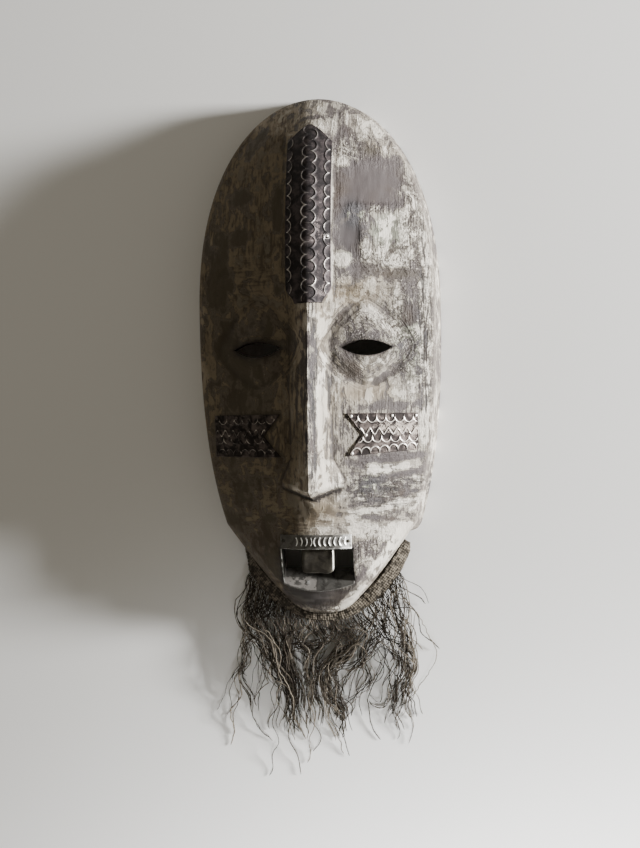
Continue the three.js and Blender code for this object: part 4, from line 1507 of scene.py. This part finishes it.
lift = GAP + SHEET + STAR_HEIGHT * floor_stamp(floor_x, run)
upper = np.stack([floor_x, floor_y + slope[1] * lift, floor_z - slope[0] * lift], -1)
lower = np.stack([floor_x, floor_y + slope[1] * GAP, floor_z - slope[0] * GAP], -1)
mouth_floor = closed_plate("lower_lip_sheet", upper, lower)
px, py, pz = plan_points(mouth_floor).T
off_slope = (py - MOUTH_BACK) * slope[1] - (pz - MOUTH_BACK_Z) * slope[0]
stamped = np.clip((off_slope - GAP - SHEET) / STAR_HEIGHT, 0, 1)
set_value(mouth_floor, "raised", stamped)
left_dirt = 0.14 + 0.5 * ease((3 - px) / 8) + 0.3 * soft_noise(px, py, (4, 4), 45)
left_dirt = left_dirt + 0.3 * soft_noise(px, py, (1.6, 1.4), 46)
set_value(mouth_floor, "smear", left_dirt * ease((MOUTH_BACK - 4 - py) / 5) - 1.5 * stamped)
wear_material(mouth_floor, lip_metal)
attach(mouth_floor, "root")
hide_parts("lower_lip_plate")
print("mouth floor:", len(mouth_floor.data.polygons), "faces")


# %% Left side of the mouth
front_run = lip_run(np.array([-floor_half]))[0]
front_y = MOUTH_BACK + slope[0] * front_run
jamb_up, jamb_out = np.meshgrid(np.linspace(0, 1, 30), np.linspace(0, 1, 30), indexing="ij")
jamb_y = between(front_y + 0.6, MOUTH_TOP - 1, jamb_up)
back_z = between(MOUTH_BACK_Z + 0.6, MOUTH_BACK_Z + 6, jamb_up)
floor_line = MOUTH_BACK_Z + (jamb_y - MOUTH_BACK) * slope[1] / slope[0] + 1
back_z = np.where(jamb_y < MOUTH_BACK, floor_line, back_z)
top_z = face_height(-floor_half, jamb_y) + 0.9 + 0.2 * soft_noise(jamb_y, jamb_y, (5, 5), 41)
jamb_z = between(back_z, top_z, jamb_out)
jamb_x = -floor_half + 0.35 * (1 - jamb_up) * jamb_out
outer_face = np.stack([jamb_x, jamb_y, jamb_z], -1)
inner_face = np.stack([jamb_x + SHEET, jamb_y, jamb_z], -1)
jamb = closed_plate("mouth_side_sheet", inner_face, outer_face)
_, py, pz = plan_points(jamb).T
jamb_edge = ease((pz - face_height(-floor_half, py) + 1.2) / 1.5)
set_value(jamb, "raised", jamb_edge * (0.6 + 0.3 * soft_noise(py, pz, (4, 4), 49)))
wear_material(jamb, lip_metal)
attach(jamb, "root")
print("mouth side:", len(jamb.data.polygons), "faces")

# %% [markdown]
# ## The tooth
# One block covered with sheet hangs from the upper lip as the only tooth. Its lower corners are
# rounded and its front is a little dished and dented. Rings of one outline are stacked from its
# back to its front and then drawn in to the middle of the front, which gives even faces there.

# %% Outline of the tooth
TOOTH_X, TOOTH_HALF, TOOTH_LOW, TOOTH_CORNER, TOOTH_MIDDLE_Y = 1.5, 15.0, -204.5, 5.0, -190
TOOTH_RINGS = [(0.8, 55.3), (0.2, 56), (0, 58), (0, 61), (0, 63.2), (0.3, 64.3), (1.1, 64.9)]  # inset, z


def tooth_ring(inset, z):
    """One outline of the block, pulled in by inset, with rounded lower corners."""
    r = TOOTH_CORNER
    half, low, high = TOOTH_HALF - inset, TOOTH_LOW + inset, MOUTH_TOP - GAP
    turn = np.linspace(0, math.pi / 2, 9)
    left = [(-half + r - r * math.cos(a), low + r - r * math.sin(a)) for a in turn]
    right_side = [(half - r + r * math.sin(a), low + r - r * math.cos(a)) for a in turn]
    down = [(-half, y) for y in np.linspace(high, low + r, 9)[:-1]]
    rise = [(half, y) for y in np.linspace(low + r, high, 9)[1:]]
    outline = np.array(down + left + right_side + rise)
    dent = 0.25 * soft_noise(outline[:, 0], outline[:, 1], (5, 5), 51)
    return np.column_stack([outline[:, 0] + TOOTH_X, outline[:, 1], np.full(len(outline), z) + dent])


tooth_rings = [tooth_ring(inset, z) for inset, z in TOOTH_RINGS]
front_ring = tooth_rings[-1]
for share in (0.8, 0.6, 0.4, 0.2, 0.03):
    ring = front_ring.copy()
    ring[:, 0] = TOOTH_X + (ring[:, 0] - TOOTH_X) * share
    ring[:, 1] = TOOTH_MIDDLE_Y + (ring[:, 1] - TOOTH_MIDDLE_Y) * share
    ring[:, 2] = 64.6 - 1.1 * (1 - share) + 0.3 * soft_noise(ring[:, 0], ring[:, 1], (6, 8), 52)
    tooth_rings.append(ring)
print("tooth rings:", len(tooth_rings))

# %% The tooth
ring_size = len(front_ring)
tooth_points = np.concatenate(tooth_rings)
tooth_faces = tube_faces(len(tooth_rings), ring_size).tolist()
tooth_faces.append(list(range(ring_size))[::-1])
tooth_faces.append(list(range(len(tooth_points) - ring_size, len(tooth_points))))
tooth = mesh_object("tooth_block", tooth_points, tooth_faces)
merge_close(tooth)
px, _, pz = plan_points(tooth).T
# The bright band down the tooth's right edge is a painted highlight.
set_value(tooth, "raised", 0.85 * ease((px - TOOTH_X - 13) / 1.8) * ease((pz - 60) / 3))
tooth.data.set_sharp_from_angle(angle=math.radians(50))
wear_material(tooth, tooth_metal)
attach(tooth, "root")
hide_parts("tooth")
print("tooth:", len(tooth.data.polygons), "faces")

# %% [markdown]
# ## Nail heads
# Thirteen small nails hold the sheets. Each CAD node says where a head sits; the finer head is a
# low hammered dome turned to the face's slope there, with a thin worn rim.

# %% Material and outline of a nail head
HEAD_SIDES = 20
HEAD_ROWS = [(1.2, 0), (1.62, 0.12), (1.6, 0.45), (1.3, 0.85), (0.8, 1.12), (0.3, 1.22)]  # radius, height
SLOPE_STEP = 1.5
nail_iron = metal_material(
    "nail_iron",
    dull=(0.10, 0.085, 0.08, 1),
    spots=(0.2, 0.17, 0.15, 1),
    rubbed=(0.85, 0.82, 0.78, 1),
)


def hammered_rows(seed):
    """Rings of a low dome that is never quite round."""
    draw = np.random.default_rng(seed)
    angles = np.arange(HEAD_SIDES) * 2 * math.pi / HEAD_SIDES
    rows = []
    for radius, height in HEAD_ROWS:
        wobble = radius * (1 + 0.05 * draw.uniform(-1, 1, HEAD_SIDES))
        level = np.full(HEAD_SIDES, height)
        rows.append(np.column_stack([wobble * np.cos(angles), wobble * np.sin(angles), level]))
    return np.concatenate(rows)


print("nail heads are", 2 * max(HEAD_ROWS)[0], "mm wide")


# %% Nail heads
def nail_head(node, seed):
    """The head that stands for one CAD node, turned to the slope of the face under it."""
    low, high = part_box(node)
    x, y, _ = to_plan((low + high) / 2)
    slope_x = float(face_height(x - SLOPE_STEP, y) - face_height(x + SLOPE_STEP, y))
    slope_y = float(face_height(x, y - SLOPE_STEP) - face_height(x, y + SLOPE_STEP))
    normal = Vector((slope_x, slope_y, 2 * SLOPE_STEP)).normalized()
    seat = Vector((x, y, float(face_height(x, y)) + GAP + SHEET)) + normal * 0.1
    turn = Vector((0, 0, 1)).rotation_difference(normal)
    points = [seat + turn @ Vector(p) for p in hammered_rows(seed)]
    faces = tube_faces(len(HEAD_ROWS), HEAD_SIDES).tolist()
    faces += [list(range(HEAD_SIDES))[::-1], list(range(len(points) - HEAD_SIDES, len(points)))]
    made = mesh_object(node.replace("tack", "nail"), np.array(points), faces)
    merge_close(made)
    heights = [(Vector(p) - seat).dot(normal) for p in plan_points(made)]
    # Heads on the left half are dulled as painted shade, and those on the lip are dull as well.
    shine_and_shade = 0.15 if x < 0 or "lip" in node else 1.0
    set_value(made, "raised", ease(np.array(heights) / 1.1) * shine_and_shade)
    wear_material(made, tooth_metal if "lip" in node else nail_iron)
    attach(made, "root")
    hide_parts(node)
    return made


tack_nodes = sorted(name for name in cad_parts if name.startswith("tack_"))
nails = [nail_head(name, 60 + i) for i, name in enumerate(tack_nodes)]
print("nails:", len(nails))

# %% [markdown]
# ## The hemp band
# A strip of coarse hemp cloth is tacked under the jaw. It is a plain weave: every thread goes
# over one and under the next. Cloth as thick as this shows its threads, so the weave is real
# relief here: two sets of round threads are written as heights, and the higher one shows.

# %% Round the jaw
BAND_TIP_Y = -177.0  # where the band ends on each side of the jaw
BAND_LINE_OUT = 4.0  # the line that the band's length is measured on lies this far outside the jaw


def jaw_stations():
    """Distance along the jaw from the chin's middle, and the height y of the edge there."""
    t = np.linspace(0, 1, 4001)
    y = BAND_TIP_Y + (CHIN_Y - BAND_TIP_Y) * np.sin(t * math.pi / 2)
    x, py = edge_point(y, BAND_LINE_OUT)
    steps = np.hypot(np.diff(x), np.diff(py))
    run = np.concatenate([[0], np.cumsum(steps)])
    return (run[-1] - run)[::-1], y[::-1]


JAW_RUN, JAW_Y = jaw_stations()
HALF_BAND = float(JAW_RUN[-1])
print("the band is", round(2 * HALF_BAND), "mm long round the jaw")

# %% Surface of the band
BAND_UNDER = 4.4  # how far the band reaches in under the ledge
BAND_WIDTH_AT = [(-248, 9), (-238, 11), (-228, 14.5), (-214, 16), (-200, 15.5), (-184, 12), (-177, 7)]
BAND_LOW_Z = 10.5
BAND_TOP_GAP = 0.9  # between the ledge and the band


def band_point(run, share):
    """A point of the band's upper face: run along the jaw, share 0 at the jaw to 1 at the fringe."""
    y = np.interp(np.abs(run), JAW_RUN, JAW_Y)
    full = between(0.4, 1, ease((-169 - y) / 29))
    top_z = side_height(y) - LEDGE_DROP - BAND_TOP_GAP
    low_z = between(top_z - 2, BAND_LOW_Z, full)
    width = np.interp(y, *zip(*BAND_WIDTH_AT))
    width = width * np.where(run < 0, between(0.2, 1, ease((BAND_TIP_Y - y) / 26)), 1)
    x, py = edge_point(y, between(-BAND_UNDER, width, share))
    groove = 2.2 * full * np.exp(-(((share - 0.27) / 0.045) ** 2))
    return np.stack([np.sign(run) * x, py, top_z + (low_z - top_z) * share**1.5 - groove], -1)


print("height of the band at the chin:", round(float(band_point(0.0, 1.0)[2]), 1), "mm")


# %% Weave
THREAD = 2.3  # a thread and its gap, mm


def weave(a, b):
    """Height in millimetres of a plain weave; a and b count threads along and across."""
    i, j = np.floor(a), np.floor(b)
    round_a = np.sqrt(np.clip(1 - (2 * (a - i) - 1) ** 2, 0, 1))
    round_b = np.sqrt(np.clip(1 - (2 * (b - j) - 1) ** 2, 0, 1))
    over = np.cos(math.pi * (b - 0.5)) * (-1) ** i
    under = -np.cos(math.pi * (a - 0.5)) * (-1) ** j
    return np.maximum(0.5 * round_a + 0.42 * over, 0.5 * round_b + 0.42 * under)


def worn_weave(along, across):
    """The weave with threads pulled askew, swollen and frayed."""
    pull = 0.5 * soft_noise(along, across, (26, 9), 71)
    skew = 0.4 * soft_noise(along, across, (19, 40), 72)
    cloth = weave(along / THREAD + pull, across / THREAD + skew)
    cloth = cloth * (1 + 0.5 * soft_noise(along, across, (2.6, 2.6), 73))
    return cloth - 0.35 * ease(2 * soft_noise(along, across, (1.7, 1.7), 76))


print("threads round the jaw:", int(2 * HALF_BAND / THREAD))

# %% Grid of the band
band_rows, band_columns = 46, 2 * int(HALF_BAND / 0.52) + 1
shares, runs = np.linspace(0, 1, band_rows), np.linspace(-HALF_BAND, HALF_BAND, band_columns)
band_share, band_run = np.meshgrid(shares, runs, indexing="ij")
ground = band_point(band_run, band_share)
along_vector = np.gradient(ground, axis=1)
across_vector = np.gradient(ground, axis=0)
face_out = np.cross(across_vector, along_vector)
face_out *= np.sign(face_out[..., 2:3])
face_out /= np.linalg.norm(face_out, axis=-1, keepdims=True)
across_run = np.cumsum(np.linalg.norm(across_vector, axis=-1), axis=0)
print("band grid:", band_rows, "by", band_columns)

# %% Woven band
BAND_THICK = 1.3  # the backing that the threads stand on
cloth = worn_weave(band_run, across_run)
sag = 0.7 * soft_noise(band_run, across_run, (16, 22), 74) * np.sin(band_share * math.pi)
edge_fall = 0.5 * ease((0.06 - band_share) / 0.06) + 0.5 * ease((band_share - 0.95) / 0.05)
band_upper = ground + face_out * (cloth + sag - edge_fall - 0.5)[..., None]
band_lower = ground + face_out * (sag - 0.5 - BAND_THICK)[..., None]
# Painted shade: the hemp is darkened between the threads and in the groove under the ledge.
groove_shade = np.exp(-(((band_share - 0.25) / 0.05) ** 2))
raised = ease((cloth - 0.25) / 0.75) * (1 - groove_shade)
band = closed_plate("beard_cloth", band_upper, band_lower, raised=raised)

# %% [markdown]
# ## The unravelled fringe
# Below the band the cloth's cross threads are pulled out and the rest hang free. Hair particles
# would be quick, but they can't be exported, so every yarn is a real closed tube: its path
# leaves the band, joins a lock and lies down on the floor in the crimps that the weave pressed
# into it. Its section has two lobes that turn along it, as in a yarn twisted from two plies.

# %% Routes of the locks
# Each lock: pull on the yarns near it, half width in millimetres, and its route in the plan.
LOCKS = [
    (5.0, 8, [(-82, -232), (-75, -257), (-61, -282), (-48, -307), (-41, -341), (-39, -364)]),
    (5.0, 7, [(-73, -240), (-66, -259), (-51, -287), (-42, -312), (-35, -341), (-28, -376)]),
    (0.5, 2, [(-87, -214), (-80, -247), (-78, -274), (-90, -305), (-103, -325), (-113, -346)]),
    (0.7, 3, [(-86, -222), (-78, -257), (-81, -292), (-89, -322), (-96, -355), (-97, -382)]),
    (1.2, 5, [(-71, -254), (-78, -282), (-85, -307), (-79, -324), (-79, -344)]),
    (1.0, 4, [(-59, -267), (-67, -304), (-72, -337), (-64, -364), (-53, -375)]),
    (0.8, 3, [(-59, -282), (-49, -317), (-51, -354), (-52, -379), (-60, -411)]),
    (2.6, 6, [(-51, -247), (-46, -267), (-38, -292), (-35, -316), (-38, -341), (-42, -364)]),
    (2.6, 6, [(-41, -252), (-36, -272), (-34, -296), (-28, -324), (-28, -354), (-30, -374)]),
    (0.8, 3, [(-33, -259), (-35, -277), (-42, -302), (-35, -341), (-36, -374), (-27, -410)]),
    (2.0, 5, [(-26, -262), (-24, -279), (-16, -288), (-16, -311), (-12, -336), (-17, -363)]),
    (1.6, 5, [(-13, -264), (-3, -279), (-9, -294), (-14, -321), (-10, -353), (-22, -398)]),
    (1.4, 4, [(-1, -264), (2, -279), (-24, -283), (-34, -289), (-26, -306)]),
    (2.0, 5, [(7, -264), (14, -279), (6, -294), (-2, -311), (1, -336), (8, -363), (20, -391)]),
    (5.0, 6, [(17, -261), (26, -278), (14, -294), (0, -306), (2, -328), (10, -345), (12, -373)]),
    (5.0, 6, [(32, -256), (39, -271), (26, -291), (9, -303), (6, -328), (15, -348), (16, -372)]),
    (1.8, 4, [(47, -249), (49, -271), (39, -288), (26, -306), (16, -328), (8, -353)]),
    (1.6, 5, [(54, -241), (56, -266), (41, -291), (41, -313), (26, -333), (6, -343)]),
    (1.0, 5, [(59, -239), (64, -261), (66, -286), (63, -310), (53, -337), (38, -333)]),
    (0.8, 4, [(61, -266), (56, -290), (51, -315), (38, -335), (40, -357), (52, -373)]),
    (1.0, 5, [(56, -278), (66, -305), (60, -330), (65, -352), (61, -372)]),
    (4.2, 7, [(67, -226), (71, -249), (80, -271), (78, -298), (73, -322), (62, -362)]),
    (4.2, 7, [(74, -217), (75, -241), (74, -266), (81, -290), (75, -320), (59, -347)]),
    (0.9, 3, [(78, -266), (86, -290), (80, -315), (85, -337), (92, -349)]),
    (0.9, 3, [(78, -290), (83, -315), (79, -332), (82, -354), (79, -377)]),
    (0.4, 1, [(79, -231), (86, -249), (100, -270), (104, -290), (97, -312), (80, -328)]),
    (0.3, 1, [(78, -212), (91, -226), (102, -241)]),
]
print("locks:", len(LOCKS))


# %% Smooth and wandering lines
STEP = 1.4  # length of one stretch of a yarn, mm


def smooth_path(points, step):
    """Points on a soft curve through the given ones, evenly spaced."""
    points = np.asarray(points, float)
    ends = np.concatenate([[2 * points[0] - points[1]], points, [2 * points[-1] - points[-2]]])
    fine = []
    for p0, p1, p2, p3 in zip(ends, ends[1:], ends[2:], ends[3:]):
        t = np.linspace(0, 1, 40, endpoint=False)[:, None]
        cubic = (3 * p1 - p0 - 3 * p2 + p3) * t**3
        fine.append(0.5 * (2 * p1 + (p2 - p0) * t + (2 * p0 - 5 * p1 + 4 * p2 - p3) * t**2 + cubic))
    fine = np.concatenate([*fine, points[-1:]])
    run = np.concatenate([[0], np.cumsum(np.linalg.norm(np.diff(fine, axis=0), axis=1))])
    even = np.arange(0, run[-1], step)
    return np.stack([np.interp(even, run, fine[:, k]) for k in range(fine.shape[1])], -1)


def wander(count, wave, seed_draw):
    """A smooth random line from -1 to 1, one value for each step."""
    knots = seed_draw.uniform(-1, 1, int(count * STEP / wave) + 4)
    t = np.arange(count) * STEP / wave + seed_draw.uniform(0, 1)
    i = np.floor(t).astype(int)
    return between(knots[i], knots[i + 1], ease(t - i))


print("a line of 50 mm has", len(smooth_path([(0, 0), (25, 0), (50, 0)], STEP)), "points")


# %% Where each lock leaves the band
def lock_home(route):
    """Where along the jaw a lock's route leaves the band."""
    runs = np.linspace(-HALF_BAND, HALF_BAND, 241)
    edge = band_point(runs, np.ones_like(runs))
    return runs[np.argmin(np.hypot(*(edge[:, :2] - route[0]).T))]


LOCK_WAVES = np.random.default_rng(7).uniform(5.0, 9.5, len(LOCKS))  # mm of yarn for one radian
LOCK_SWAY = np.random.default_rng(8).uniform(1.2, 3.2, len(LOCKS))
homes = np.array([lock_home(route) for _, _, route in LOCKS])
pulls = np.array([pull for pull, _, _ in LOCKS])
print("locks leave the band from", round(homes.min()), "to", round(homes.max()), "mm along the jaw")

# %% [markdown]
# ## One yarn
# A yarn starts at the band's lower edge, aims downwards, joins its lock's route and ends at the
# lock's end or before it. Beside the route it sways with its lock, twines with its neighbours,
# keeps the weave's crimp and drifts by itself. Then it falls to the floor, where the yarns of a
# thick lock lie on one another. Each of these is one line of the two functions below.

# %% Yarn paths
draw = np.random.default_rng(2026)
FRINGE_TOP = 19  # no yarn lies higher than this above the floor, mm


def yarn_course(run, lock, keep):
    """The yarn's plan without its own waves, evenly spaced."""
    route = LOCKS[lock][2]
    root = band_point(np.array([run - 0.2, run, run + 0.2]), np.array([0.9, 0.9, 0.9]))
    edge = band_point(np.array([run]), np.array([1.0]))[0]
    out_way = edge[:2] - root[1, :2]
    out_way /= max(np.linalg.norm(out_way), 1e-6)
    aslant = 0.25 * out_way[0] + 0.75 * math.exp(-(((edge[0] + 5) / 48) ** 2))
    first = edge[:2] + (0.4 * out_way + np.array([aslant, -1])) * draw.uniform(3, 9)
    later = [p for p in np.array(route[1:], float) if p[1] < first[1] - 6]
    flat = smooth_path([root[1, :2], edge[:2], first, *later], STEP)
    return flat[: max(12, int(len(flat) * keep))]


def yarn_path(run, lock, keep, stray):
    """The middle line of one yarn, from its place on the band to its loose end."""
    width = LOCKS[lock][1]
    flat = yarn_course(run, lock, keep)
    count = len(flat)
    share = np.linspace(0, 1, count)
    way = np.gradient(flat, axis=0)
    way /= np.linalg.norm(way, axis=1, keepdims=True)
    beside = np.stack([-way[:, 1], way[:, 0]], -1)
    along = np.arange(count) * STEP
    loose = ease(along / 30)
    seat = draw.uniform(-1, 1)
    fan = 0.92 * width * seat * loose * (0.65 + 0.6 * share**2)
    twine = 0.25 * width * loose * np.cos(draw.uniform(0, 2 * math.pi) + along / draw.uniform(10, 22))
    sway = LOCK_SWAY[lock] * np.sin(along / LOCK_WAVES[lock] + 2.1 * lock + 0.6 * seat) * loose
    crimp = draw.uniform(0.3, 0.9) * wander(count, draw.uniform(3, 6), draw) * ease(along / 6)
    drift = stray * wander(count, draw.uniform(18, 42), draw) * loose
    shift = fan + twine + sway + crimp + drift
    start = band_point(np.array([run]), np.array([0.9]))[0, 2] - 1.1
    fall = ease(along / draw.uniform(55, 125))
    springy = (0.8 + 1.6 * (1 + wander(count, 22, draw))) * ease(along / 12) * (1 - share) ** 0.6
    layer = draw.uniform(0, 1) ** 0.5 * math.sqrt(1 - 0.6 * seat**2)
    pile = 0.9 + min(6 + 2.3 * width, 18) * layer * ease(2.3 * (1 - share)) + 0.5 * wander(count, 9, draw)
    height = between(start, 0, fall) + springy + np.maximum(pile, 0.7) * fall
    return np.column_stack([flat + beside * shift[:, None], np.minimum(height, FRINGE_TOP - layer)])


print("yarns stay below", FRINGE_TOP, "mm")

# %% All the yarns
YARNS = 240
FRINGE_HALF = HALF_BAND - 30
paths = []
for n in range(YARNS):
    run = between(-FRINGE_HALF, FRINGE_HALF, (n + draw.uniform(0, 1)) / YARNS)
    near = pulls * np.exp(-(((run - homes) / 17) ** 2)) + 1e-9
    lock = draw.choice(len(LOCKS), p=near / near.sum())
    stray = draw.uniform(5, 15) if draw.uniform(0, 1) < 0.3 else draw.uniform(0.8, 3.0)
    paths.append(yarn_path(run, lock, draw.uniform(0.55, 1.0), stray))
for lock in range(len(LOCKS)):
    paths.append(yarn_path(np.clip(homes[lock], -FRINGE_HALF, FRINGE_HALF), lock, 1.0, 1.5))
print("yarns:", len(paths), "with", round(sum(len(p) for p in paths) * STEP / 1000, 1), "m in all")


# %% Yarn tubes
SIDES = 5
TWIST = 7.5  # mm of yarn for one turn of its two plies
DARK_SHARE = 0.64  # of the yarns


def yarn_tube(path):
    """Rings of a closed two-ply yarn round its path, its own tone, and where its plies rise, which
    sets the painted shade between the plies.
    """
    count = len(path)
    way = np.gradient(path, axis=0)
    way /= np.linalg.norm(way, axis=1, keepdims=True)
    beside = np.stack([-way[:, 1], way[:, 0], np.zeros(count)], -1)
    beside /= np.linalg.norm(beside, axis=1, keepdims=True)
    above = np.cross(way, beside)
    run = np.arange(count) * STEP
    angle = np.arange(SIDES) * 2 * math.pi / SIDES
    thick = draw.uniform(0.27, 0.5) * (1 + 0.2 * wander(count, 4, draw))
    thick = thick * np.clip((run[-1] - run) / 3 + 0.3, 0, 1)
    plies = np.cos(2 * (angle[None, :] - run[:, None] * 2 * math.pi / TWIST))
    radius = (thick[:, None] * (1 + 0.16 * plies))[..., None]
    around = np.cos(angle)[None, :, None] * beside[:, None] + np.sin(angle)[None, :, None] * above[:, None]
    rings = path[:, None] + radius * around
    rings[..., 2] = np.maximum(rings[..., 2], 0.15)
    shade = draw.uniform(0.0, 0.35) if draw.uniform(0, 1) < DARK_SHARE else draw.uniform(0.5, 0.9)
    return rings, np.full((count, SIDES), shade), 0.84 + 0.16 * plies


print("a yarn has", SIDES, "sides")


# %% Four pieces of fringe
def fringe_piece(name, some_paths):
    """One mesh of many closed yarns."""
    points, faces, tones, plies, first = [], [], [], [], 0
    for path in some_paths:
        rings, tone, ply = yarn_tube(path)
        count = len(rings)
        points.append(rings.reshape(-1, 3))
        faces += (tube_faces(count, SIDES) + first).tolist()
        faces.append([first + k for k in range(SIDES)][::-1])
        faces.append([first + (count - 1) * SIDES + k for k in range(SIDES)])
        tones.append(tone.reshape(-1))
        plies.append(ply.reshape(-1))
        first += count * SIDES
    made = mesh_object(name, np.concatenate(points), faces)
    set_value(made, "tone", np.concatenate(tones))
    set_value(made, "ply", np.concatenate(plies))
    return made


FRINGE_NAMES = ("fringe_far_left", "fringe_left", "fringe_right", "fringe_far_right")
by_side = sorted(paths, key=lambda path: path[0, 0])
part = math.ceil(len(by_side) / len(FRINGE_NAMES))
fringe = [fringe_piece(name, by_side[i * part : (i + 1) * part]) for i, name in enumerate(FRINGE_NAMES)]
print("fringe faces:", [len(piece.data.polygons) for piece in fringe])

# %% [markdown]
# ## Hemp
# Band and yarns are the same fibre: greyed brown, dull and hairy. One group gives its colour and
# its fine fibre relief. Painted shade darkens the band between its threads and in its groove, and
# the yarns between their plies; each yarn also has its own tone.


# %% Group: hemp fibre
def hemp_group():
    tree, given, result = new_group(
        "hemp_fibre",
        [("Place", "vector", None), ("Tone", "value", 0.5), ("Depth", "value", 1.0)],
        [("Color", "colour"), ("Height", "value")],
    )
    place = given.outputs["Place"]
    fibre = spread(tree, place, 1500, (1, 0.4, 1), 4, 0.65)
    soil = spread(tree, place, 60, (1, 1, 1), 4, 0.55)
    light = add_share(tree, given.outputs["Tone"], fibre, 0.9)
    light = window(tree, add_share(tree, light, soil, 0.8), 0.15, 0.95)
    colour = tint(tree, light, (0.024, 0.019, 0.014, 1), (0.185, 0.16, 0.126, 1))
    # Painted shade: darker where the depth value is low.
    shade = window(tree, given.outputs["Depth"], 0, 1, 0.8, 0.0)
    join(tree, result.inputs["Color"], tint(tree, shade, colour, (0.012, 0.010, 0.008, 1)))
    join(tree, result.inputs["Height"], fibre)
    return tree


hemp_fibre = hemp_group()
print("group:", hemp_fibre.name)


# %% Hemp materials
def hemp_material(name, tone, depth):
    """Hemp that reads its tone, and its painted shade between the threads, from two stored values."""
    material, tree, shader = new_material(name)
    values = {"Place": own_place(tree), "Tone": stored(tree, tone), "Depth": stored(tree, depth)}
    made = use_group(tree, hemp_fibre, values)
    join(tree, shader.inputs["Base Color"], made["Color"])
    join(tree, shader.inputs["Normal"], relief(tree, made["Height"], 0.0003, 0.8))
    shader.inputs["Roughness"].default_value = 0.92
    shader.inputs["Specular IOR Level"].default_value = 0.2
    return material


yarn_hemp = hemp_material("hemp_yarn", "tone", "ply")
cloth_hemp = hemp_material("hemp_cloth", "tone", "raised")
px, py, _ = plan_points(band).T
# The band's tone is lighter on the right half and darker on the left: painted light and shade.
set_value(band, "tone", 0.72 + 0.1 * np.sign(px) + 0.3 * soft_noise(px, py, (2.0, 2.0), 75))
wear_material(band, cloth_hemp)
print("hemp:", yarn_hemp.name, "and", cloth_hemp.name)

# %% Tell the frame about the hemp
for piece in [band, *fringe]:
    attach(piece, "root")
for piece in fringe:
    wear_material(piece, yarn_hemp)
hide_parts("beard_band")
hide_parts("fringe_lock_1", "fringe_lock_2")
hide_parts("fringe_lock_3", "fringe_lock_4")
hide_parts("fringe_lock_5", "fringe_lock_6")
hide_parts("fringe_lock_7", "fringe_lock_8")
print("hemp pieces:", [piece.name for piece in [band, *fringe]])

# %% [markdown]
# ## Floor
# The mask lies on a plain pale floor, which takes its shadow. One large square is enough, because
# its edges stay out of the picture. It lies a hair below the frame's zero, so that it doesn't
# flicker against the back rim that rests on it.

# %% Floor
FLOOR_HALF = 3.0
FLOOR_Z = -0.0002
floor_mesh = bpy.data.meshes.new("studio_floor")
turns = [(-1, -1), (1, -1), (1, 1), (-1, 1)]
corners = [(FLOOR_HALF * x, FLOOR_HALF * y, FLOOR_Z) for x, y in turns]
floor_mesh.from_pydata(corners, [], [(0, 1, 2, 3)])
floor = bpy.data.objects.new("studio_floor", floor_mesh)
scene.collection.objects.link(floor)
plaster, tree, shader = new_material("pale_floor")
shade = spread(tree, own_place(tree), 3, (1, 1, 1), 3, 0.5)
join(tree, shader.inputs["Base Color"], tint(tree, shade, (0.85, 0.85, 0.84, 1), (0.88, 0.88, 0.87, 1)))
shader.inputs["Roughness"].default_value = 0.9
wear_material(floor, plaster)
print("floor:", 2 * FLOOR_HALF, "m wide")

# %% [markdown]
# ## Light
# In the photograph the light comes low from the right and leaves the left half of the face in
# shade, with a long shadow beside it. A small lamp far off gives that shadow its fairly clear
# edge: a near or a large one would blur it. The lower part of the picture is brighter, so a wide
# spot hangs over the floor below the beard. A dim, warm world light keeps the shade readable.

# %% Lamp on the right
LAMP_DISTANCE, LAMP_SIZE, LAMP_WATTS = 2.5, 0.36, 300
LAMP_TURN, LAMP_RISE = math.radians(5), math.radians(11.5)
out_share = math.cos(LAMP_RISE)
turn_x, turn_y = math.cos(LAMP_TURN), math.sin(LAMP_TURN)
toward_lamp = Vector((out_share * turn_x, out_share * turn_y, math.sin(LAMP_RISE)))
middle = Vector((0, float(frame_shift[1]) / 1000, 0.05))

lamp_data = bpy.data.lights.new("soft_lamp", "AREA")
lamp_data.shape, lamp_data.size, lamp_data.size_y = "RECTANGLE", LAMP_SIZE, LAMP_SIZE
lamp_data.energy = LAMP_WATTS
lamp_data.color = (1.0, 0.99, 0.97)
lamp = bpy.data.objects.new("soft_lamp", lamp_data)
scene.collection.objects.link(lamp)
lamp.location = middle + toward_lamp * LAMP_DISTANCE
lamp.rotation_euler = toward_lamp.to_track_quat("Z", "Y").to_euler()
print("lamp at", np.round(lamp.location, 2).tolist())

# %% Spot below the beard
POOL_PLACE = Vector((0.44, -1.5, 1.08))  # from the middle of the face; it shines straight down
POOL_WATTS, POOL_CONE, POOL_RADIUS = 2000, math.radians(94), 0.3

pool_data = bpy.data.lights.new("floor_pool", "SPOT")
pool_data.energy, pool_data.spot_size, pool_data.spot_blend = POOL_WATTS, POOL_CONE, 1.0
pool_data.shadow_soft_size = POOL_RADIUS
pool = bpy.data.objects.new("floor_pool", pool_data)
scene.collection.objects.link(pool)
pool.location = middle + POOL_PLACE
print("spot at", np.round(pool.location, 2).tolist())

# %% World light
WORLD_COLOUR, WORLD_STRENGTH = (1.0, 0.915, 0.76, 1), 0.235
world = bpy.data.worlds.new("studio")
world.use_nodes = True
world.node_tree.nodes["Background"].inputs["Color"].default_value = WORLD_COLOUR
world.node_tree.nodes["Background"].inputs["Strength"].default_value = WORLD_STRENGTH
scene.world = world
print("world light:", WORLD_STRENGTH)
